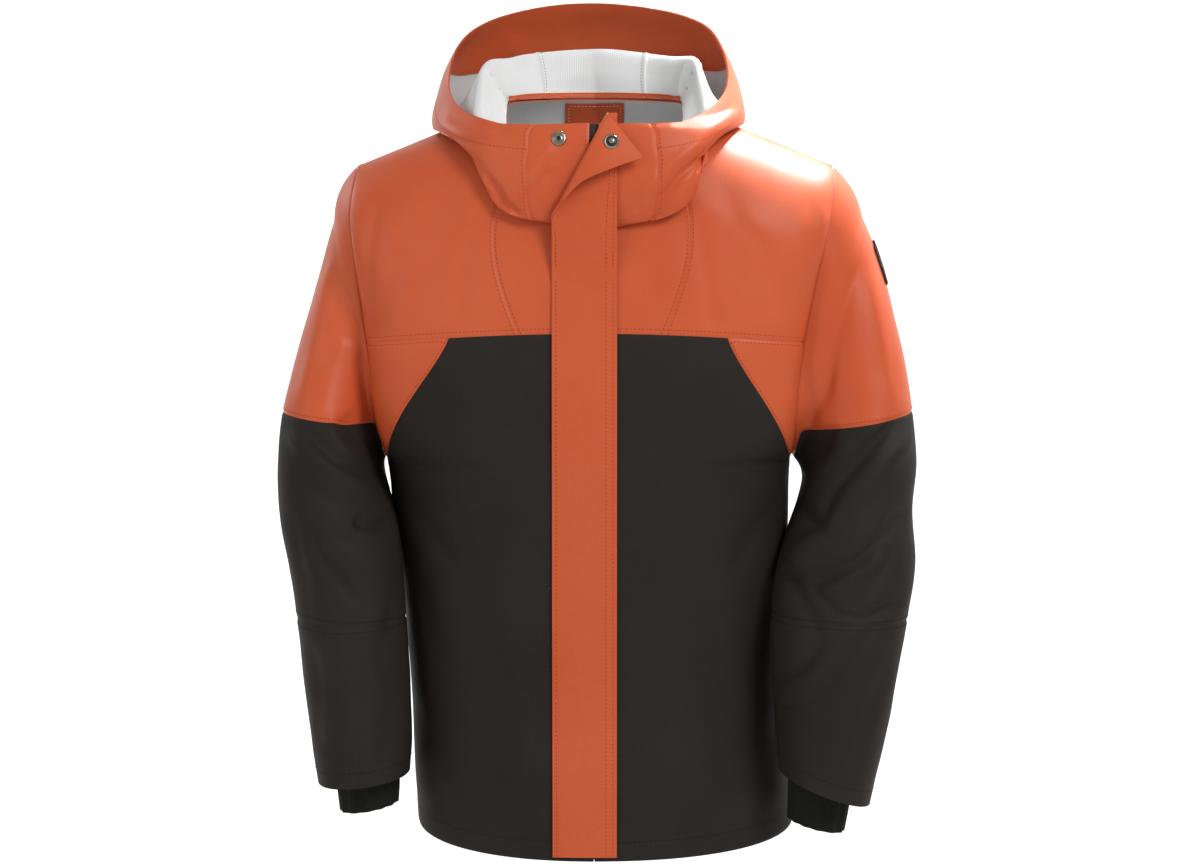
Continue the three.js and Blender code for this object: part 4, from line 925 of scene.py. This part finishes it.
# Sleeves
for tag, way in (("r", -1.0), ("l", 1.0)):
    folds = FOLDS[f"sleeve_{tag}"]
    elbow = ELBOW_SECTION[tag]
    last = len(SLEEVE_SECTIONS[tag])

    def sleeve(low, high, size, seams, tag=tag, folds=folds, way=way):
        def base(a, b):
            turn = way * a * 2 * math.pi
            return sleeve_base(tag, turn, mix(low(turn), high(turn), b))

        def point(a, b):
            p = base(a, b)
            step = 2e-3
            b0, b1 = np.maximum(b - step, 0), np.minimum(b + step, 1)
            n = np.cross(base(a + step, b) - base(a - step, b), base(a, b1) - base(a, b0))
            n /= np.maximum(np.linalg.norm(n, axis=-1, keepdims=True), 1e-9)
            turn = way * a * 2 * math.pi
            start = smooth(mix(low(turn), high(turn), b) * 1.6)
            push = pressed(folds, p, n, way * 5) * start
            along = mix(low(turn), high(turn), b)
            deep = np.where(along < 0.4, 1.8, 1.0)
            reach = np.linalg.norm(base(a, b1) - base(a, b0), axis=-1) / (b1 - b0) / (high(turn) - low(turn))
            push = push + 1.1 * np.exp(-((along - ELBOW_LINE[tag]) * reach / 2.2) ** 2)
            return p - n * (push + dip(base, a, b, ((-1, 2), (0, 1)), seams, deep, 2.2))[:, None]
        return point

    seam = lambda turn, tag=tag: colour_seam_at(tag, turn)
    steady = lambda value: (lambda turn: np.full_like(turn, value))
    plan = {"sleeve_upper": (steady(-0.03), seam, 240, "bt", 64, ORANGE, "shell"),
            "sleeve_lower": (seam, steady(elbow), 200, "b", 96, DARK, "dark_shell"),
            "forearm": (steady(elbow), steady(float(last)), 165, "", 50, DARK, "dark_shell")}
    for kind, (low, high, size, seams, rows, outside, slot_name) in plan.items():
        surface = sleeve(low, high, size, seams)
        SURFACES[f"{kind}_{tag}"] = surface
        cloth(f"{kind}_{tag}_cloth", (f"{kind}_{tag}",), surface, np.linspace(0, 1, 97), spread(rows, size), outside,
              LINING, slot_name, tube=True)
    upper, lower, forearm = (SURFACES[f"{kind}_{tag}"] for kind in plan)
    sewn(f"colour_seam_stitches_{tag}", upper, beside(upper, "b1", 4), ORANGE_THREAD_AND_GROOVE_SHADE, "shell")
    for kind, off in (("upper", -0.1), ("lower", 0.1)):
        at_line = lambda q, tag=tag, off=off: (q, (ELBOW_LINE[tag] + off - colour_seam_at(tag, q * 2 * math.pi))
                                               / (ELBOW_SECTION[tag] - colour_seam_at(tag, q * 2 * math.pi)))
        sewn(f"elbow_{kind}_stitches_{tag}", lower, at_line, DARK_THREAD, "dark_shell")
    sewn(f"sleeve_hem_stitches_{tag}", forearm, beside(forearm, "b1", 16), DARK_THREAD, "dark_shell")

    def cuff(a, b, tag=tag, way=way):
        turn = way * a * 2 * math.pi
        start = CUFF_TOP[tag]
        rings = []
        for k in (start, start + 0.25):
            p = sleeve_base(tag, turn, np.full_like(turn, k))
            middle = (sleeve_base(tag, np.zeros(1), np.full(1, k))
                      + sleeve_base(tag, np.full(1, math.pi), np.full(1, k))) / 2
            rings.append(middle + (p - middle) * (1 - 7.0 / 46))
        rings += [oval(s, turn) for s in CUFF_SECTIONS[tag]]
        rings = np.stack(rings)
        p = np.stack([spline(rings[:, :, i], b * 4) for i in range(3)], axis=-1)
        # The elastic gathers the knit into fine pleats that fade towards its seam and its end.
        out = p - np.array([CUFF_SECTIONS[tag][1][0] * 0.5 + CUFF_SECTIONS[tag][1][2] * 0.5, CUFF_SECTIONS[tag][1][4], 0])
        out[:, 2] = 0
        out /= np.maximum(np.linalg.norm(out, axis=1, keepdims=True), 1e-9)
        pleat = np.sin(turn * 13 + 0.6 * np.sin(turn * 3)) * smooth((b - 0.3) * 3)
        return p + out * (0.9 * pleat)[:, None]

    SURFACES[f"inner_cuff_{tag}"] = cuff
    cloth(f"inner_cuff_{tag}_cloth", (f"inner_cuff_{tag}",), cuff, np.linspace(0, 1, 131), np.linspace(0, 1, 31),
          STRETCH, STRETCH, "knit", thick=1.8, tube=True)

# Hood and collar
HOOD_PANELS = {
    "collar_r": (lambda k: np.full_like(k, -FRONT_TURN), lambda k: np.full_like(k, -SNAP_TURN), 16, 50),
    "hood_side_r": (lambda k: np.full_like(k, -SNAP_TURN), lambda k: -centre_turn(k), 90, 260),
    "hood_centre": (lambda k: -centre_turn(k), lambda k: centre_turn(k), 36, 112),
    "hood_side_l": (lambda k: centre_turn(k), lambda k: np.full_like(k, SNAP_TURN), 90, 260),
    "collar_l": (lambda k: np.full_like(k, SNAP_TURN), lambda k: np.full_like(k, FRONT_TURN), 16, 50),
}


def hood_panel(start, end, low=0.0, high=RIM, inward=0.0, seams="lr"):
    def base(a, b):
        k = mix(low(a) if callable(low) else low, high, b)
        return hood_base(mix(end(k), start(k), a), k)
    def still(a, b):
        return smooth(mix(low(a) if callable(low) else low, high, b) / 0.4)

    surface = folded(base, FOLDS["hood"], 4.4, hold=0, seams=seams, still=still)
    if not inward:
        return surface
    return lambda a, b: surface(a, b) - normals_of(base, a, b, limits=((0, 1), (0, 1))) * inward


for name, (start, end, columns, size) in HOOD_PANELS.items():
    SURFACES[name] = hood_panel(start, end)
    panel = cloth(f"{name}_cloth", (name,), SURFACES[name], spread(columns, size), spread(110, 560), ORANGE, LINING,
                  "shell", lined_rim=True)
    # Where the bag runs out into the collar's front, this sheet folds over itself and its lining
    # side faces out. The shape isn't mended: the faces there are only given the coated material.
    for face in panel.data.polygons:
        x, y, z = np.array(face.center) / MM
        if abs(x - HOOD_X) > 95 and y < -45 and z < 14:
            face.material_index = 0


def facing_low(a):
    """The facing is deep at the middle of the brim and narrow at its sides."""
    turn = np.abs(2 * a - 1) * SNAP_TURN
    return mix(7.55, 8.35, smooth((turn - 0.75) / 0.7))


SURFACES["hood_facing"] = hood_panel(lambda k: np.full_like(k, -SNAP_TURN), lambda k: np.full_like(k, SNAP_TURN),
                                     facing_low, RIM, CLOTH + 0.25, seams="")
cloth("hood_facing_cloth", ("hood_facing",), SURFACES["hood_facing"], np.linspace(0, 1, 181), np.linspace(0, 1, 17),
      ORANGE, ORANGE, "shell", thick=0.7)
sewn("facing_stitches", SURFACES["hood_facing"], beside(SURFACES["hood_facing"], "b0", 3), ORANGE_THREAD_AND_GROOVE_SHADE, "shell",
     flip=-1.0, lift=0.8)
SURFACES["neck_tape"] = hood_panel(lambda k: np.full_like(k, -1.35), lambda k: np.full_like(k, 1.35),
                                   0.04, 0.22, CLOTH + 0.25, seams="")
cloth("neck_tape_cloth", ("neck_tape",), SURFACES["neck_tape"], np.linspace(0, 1, 101), np.linspace(0, 1, 7), ORANGE,
      ORANGE, "shell", thick=0.7)
sewn("neck_tape_stitches", SURFACES["neck_tape"], beside(SURFACES["neck_tape"], "b1", 1.4), ORANGE_THREAD_AND_GROOVE_SHADE, "shell",
     flip=-1.0, lift=0.8)
for tag, turn_edge in (("r", "a0"), ("l", "a1")):
    side = SURFACES[f"hood_side_{tag}"]
    sewn(f"hood_seam_stitches_{tag}", side, beside(side, "a1" if tag == "r" else "a0", 4), ORANGE_THREAD_AND_GROOVE_SHADE, "shell")
    sewn(f"collar_seam_stitches_{tag}", side, beside(side, turn_edge, 3.5), ORANGE_THREAD_AND_GROOVE_SHADE, "shell")
    sewn(f"brim_stitches_{tag}", side, beside(side, "b1", 28), ORANGE_THREAD_AND_GROOVE_SHADE, "shell")
    for kind, sheet, edge in (("side", side, "a1" if tag == "r" else "a0"),
                              ("centre", SURFACES["hood_centre"], "a0" if tag == "r" else "a1")):
        sewn(f"hood_lining_{kind}_stitches_{tag}", sheet, beside(sheet, edge, 3.2, 0.0, 0.82), GREY_THREAD, "shell",
             flip=-1.0, lift=CLOTH + 0.15)
    collar = SURFACES[f"collar_{tag}"]
    sewn(f"collar_edge_stitches_{tag}", collar, beside(collar, "a1" if tag == "r" else "a0", 3.5), ORANGE_THREAD_AND_GROOVE_SHADE,
         "shell")


def neck_patch(a, b):
    base = lambda q, r: body(1, share_at((1 - 2 * q) * 33), mix(-18, 38.5, r))
    n = normals_of(base, a, b, limits=((0, 1), (0, 1)))
    return base(a, b) - n * (CLOTH + 0.9)


cloth("neck_patch_cloth", ("neck_patch",), neck_patch, np.linspace(0, 1, 17), np.linspace(0, 1, 17), ORANGE, ORANGE,
      "shell", thick=0.7)
for edge in ("a0", "a1", "b0", "b1"):
    sewn(f"neck_patch_stitches_{edge}", neck_patch, beside(neck_patch, edge, 4, 0.07, 0.93), PALE_THREAD, "shell",
         flip=-1.0, lift=0.8)


def arm_patch(a, b):
    base = lambda q, r: sleeve_base("l", mix(-math.radians(18), math.radians(18), q), mix(1.5, 2.4, r))
    # The corners are rounded.
    x, y = 2 * a - 1, 2 * b - 1
    pull = 1 - 0.09 * (x * y) ** 2
    a2, b2 = (x * pull + 1) / 2, (y * pull + 1) / 2
    return base(a2, b2) + normals_of(base, a2, b2) * 2.0


cloth("arm_patch_cloth", ("arm_patch",), arm_patch, np.linspace(0, 1, 15), np.linspace(0, 1, 15), DARK, DARK,
      "dark_shell", thick=1.0)

# Storm flap
SURFACES["storm_flap"] = lambda a, b: flap_fold(*flap_flat(a, b * (len(FLAP_ROWS) - 1)))
FLAP_PLACES = np.linspace(0, 1, len(FLAP_ROWS))
cloth("storm_flap_cloth", ("storm_flap",), SURFACES["storm_flap"], spread(26, 65), FLAP_PLACES, ORANGE, ORANGE,
      "shell", thick=FLAP["cloth"])
for name, inset in (("first", 4.0), ("second", 11.0)):
    sewn(f"flap_{name}_stitches", SURFACES["storm_flap"], beside(SURFACES["storm_flap"], "a1", inset, 0.0, 0.66),
         ORANGE_THREAD_AND_GROOVE_SHADE, "shell")
sewn("flap_edge_stitches", SURFACES["storm_flap"], beside(SURFACES["storm_flap"], "a0", 4.0, 0.0, 0.6), ORANGE_THREAD_AND_GROOVE_SHADE,
     "shell")


def zip_face(z):
    """How far forward the front edges lie at height z: the body's, and then the collar's."""
    ends = [(NECK_FRONT_Z, float(front_face(CENTRE_X, NECK_FRONT_Z)))] + [(row[4, 2], row[4, 1]) for row in HOOD_RINGS]
    heights, depths = np.array(ends).T
    return np.where(z < NECK_FRONT_Z, front_face(CENTRE_X, np.minimum(z, NECK_FRONT_Z)), np.interp(z, heights, depths))


# Zip teeth: one tooth modelled, copied down both tapes so that the two rows mesh.
TOOTH_STEP = 2.9
tooth_z = np.arange(-728.0, -17.5, TOOTH_STEP / 2)
bpy.ops.object.select_all(action="DESELECT")
bpy.ops.mesh.primitive_cylinder_add(vertices=10, radius=1.0, depth=2.0)
teeth = bpy.context.object
apply(teeth, "ARRAY", count=len(tooth_z), use_merge_vertices=False)
each = len(teeth.data.vertices) // len(tooth_z)
shape = np.empty(len(teeth.data.vertices) * 3)
teeth.data.vertices.foreach_get("co", shape)
one = shape.reshape(len(tooth_z), each, 3)[0]
side = np.where(np.arange(len(tooth_z)) % 2 == 0, -1.0, 1.0)
# A tooth is a waisted peg: wide at its head across the middle, narrow at its neck on the tape.
narrow = 0.62 + 0.14 * one[:, 0]
put = np.stack([CENTRE_X + side[:, None] * (0.55 - 2.1 * one[None, :, 0]),
                zip_face(tooth_z)[:, None] + 0.5 + 0.85 * one[None, :, 2],
                tooth_z[:, None] + side[:, None] * one[None, :, 1] * narrow[None, :]], axis=-1)
teeth.data.vertices.foreach_set("co", (put * MM).ravel())
teeth.data.update()
apply(teeth, "BEVEL", width=0.00018, segments=1)
bpy.ops.object.mode_set(mode="EDIT")
bpy.ops.mesh.select_all(action="SELECT")
bpy.ops.mesh.normals_make_consistent(inside=False)
bpy.ops.object.mode_set(mode="OBJECT")
teeth.data.materials.append(TEETH_AND_SNAP_SHADE)
bpy.ops.object.shade_smooth_by_angle(angle=math.radians(35))
finish_piece(teeth, "zip_teeth_rows", "zip", ("zip_teeth",))

def snap(name, at, up, profile, dark):
    """A pressed metal snap half: its profile of radii and heights turned about its axis."""
    radii, heights = np.array(profile, float).T
    across_ = np.cross(up, [0.0, 0.0, 1.0])
    across_ /= np.linalg.norm(across_)
    over = np.cross(up, across_)

    def point(a, b):
        k = b * (len(profile) - 1)
        r, h = np.interp(k, np.arange(len(profile)), radii), np.interp(k, np.arange(len(profile)), heights)
        angle = a * 2 * math.pi
        return (at + up * h[:, None] + across_ * (r * np.cos(angle))[:, None] + over * (r * np.sin(angle))[:, None])

    obj = shaped_grid(point, np.linspace(0, 1, 41), np.linspace(0, 1, len(profile)))
    apply(obj, "WELD", merge_threshold=0.00002)
    bpy.ops.object.mode_set(mode="EDIT")
    bpy.ops.mesh.select_all(action="SELECT")
    bpy.ops.mesh.normals_make_consistent(inside=False)
    bpy.ops.object.mode_set(mode="OBJECT")
    obj.data.materials.append(METAL)
    obj.data.materials.append(TEETH_AND_SNAP_SHADE)
    # The ring between the given radii is painted black: painted shade in the socket's hole and in the stud's channel
    # round its post, not a part of its own.
    for face in obj.data.polygons:
        off = np.array(face.center) / MM - at
        reach = np.linalg.norm(off - up * (off @ up))
        face.material_index = int(dark[0] < reach < dark[1] and off @ up > 0.2)
    bpy.ops.object.shade_smooth_by_angle(angle=math.radians(32))
    return finish_piece(obj, f"{name}_detail", "metal", (name,))


one_ = np.ones(1)
collar = SURFACES["collar_r"]
place_ = (one_ * (COLLAR_SEAM - 0.24) / (COLLAR_SEAM - HOOD_FRONT_GAP), one_ * 6.95 / RIM)
up_ = normals_of(collar, *place_)[0]
snap("snap_socket", collar(*place_)[0] + up_ * 0.15, up_,
     [(0, 0), (7.5, 0), (7.5, 0.6), (7.1, 1.3), (6.4, 1.7), (5.5, 1.7), (4.9, 1.3), (4.6, 0.6), (3.5, 0.6), (3.3, 1.3),
      (2.7, 1.5), (2.3, 1.3), (2.1, 0.4), (0, 0.4)], (0, 2.2))
flat_ = (one_ * -18.5, one_ * 10.0)
up_ = -normals_of(flap_fold, *flat_, 0.1, 0.1)[0]
snap("snap_stud", flap_fold(*flat_)[0] + up_ * (FLAP["cloth"] + 0.15), up_,
     [(0, 0), (7.5, 0), (7.5, 0.6), (7.1, 1.2), (6.5, 1.6), (5.6, 1.5), (4.9, 0.8), (3.9, 0.7), (3.2, 1.0), (2.9, 1.6),
      (2.9, 2.7), (2.5, 3.2), (1.5, 3.4), (0, 3.4)], (3.3, 5.2))

for name, material in (("zip_tape_r", TAPE), ("zip_tape_l", TAPE), ("zip_slider", METAL)):
    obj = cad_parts[name]
    for slot_ in obj.material_slots:
        slot_.material = material

# ---------------------------------------------------------------- studio
bpy.ops.object.select_all(action="DESELECT")
bpy.ops.mesh.primitive_grid_add(x_subdivisions=2, y_subdivisions=60, size=2)
floor = bpy.context.object
floor.name = "studio_floor"
bend = np.empty(len(floor.data.vertices) * 3)
floor.data.vertices.foreach_get("co", bend)
bend = bend.reshape(-1, 3)
travel = (bend[:, 1] + 1) / 2 * 16.0  # metres along the floor and up the backdrop
radius = 2.0
turned = np.clip((travel - 9.0) / radius, 0, math.pi / 2)
rise = np.maximum(travel - 9.0 - radius * math.pi / 2, 0)
bend[:, 0] *= 9.0
bend[:, 1] = -5.0 + np.minimum(travel, 9.0) + radius * np.sin(turned)
bend[:, 2] = -1.45 + radius * (1 - np.cos(turned)) + rise
floor.data.vertices.foreach_set("co", bend.ravel())
for face in floor.data.polygons:
    face.use_smooth = True
paper, paper_tree, paper_shader, paper_place = start_material("matt_backdrop_paper", {
    "Base Color": linear("#FAFAF9"), "Roughness": 0.95})
floor.data.materials.append(paper)


def lamp(name, place, target, size, power, colour="#FFFFFF", spread=180):
    bpy.ops.object.light_add(type="AREA", location=place)
    made = bpy.context.object
    made.name = name
    made.data.shape = "RECTANGLE"
    made.data.size, made.data.size_y = size
    made.data.energy = power
    made.data.spread = math.radians(spread)
    made.data.color = linear(colour)[:3]
    made.rotation_euler = (Vector(target) - Vector(place)).to_track_quat("-Z", "Y").to_euler()
    return made


lamp("key_softbox", (1.7, -2.2, 1.9), (0, 0, -0.25), (1.0, 1.2), 63)
lamp("fill_softbox", (-2.4, -2.2, 0.5), (0, 0, -0.35), (1.6, 2.0), 16)
lamp("shoulder_softbox", (0.82, 0.66, 1.3), (0.2, -0.03, 0.0), (0.3, 0.3), 1.3, spread=16)
for side_name, side_x in (("left", -3.4), ("right", 3.4)):
    lamp(f"backdrop_softbox_{side_name}", (side_x, 2.6, 1.6), (side_x * 0.1, 5.6, -0.9), (1.6, 1.6), 120)
world = bpy.data.worlds.new("studio")
bpy.context.scene.world = world
world.use_nodes = True
world.node_tree.nodes["Background"].inputs["Color"].default_value = (1, 1, 1, 1)
world.node_tree.nodes["Background"].inputs["Strength"].default_value = 0.46

bpy.ops.object.camera_add(location=(0.004, -2.8, -0.020), rotation=(math.radians(90 - 5.852), 0, 0))
camera = bpy.context.object
camera.data.sensor_width = 36
camera.data.lens = 80.419
bpy.context.scene.camera = camera
bpy.context.scene.view_settings.view_transform = "Standard"
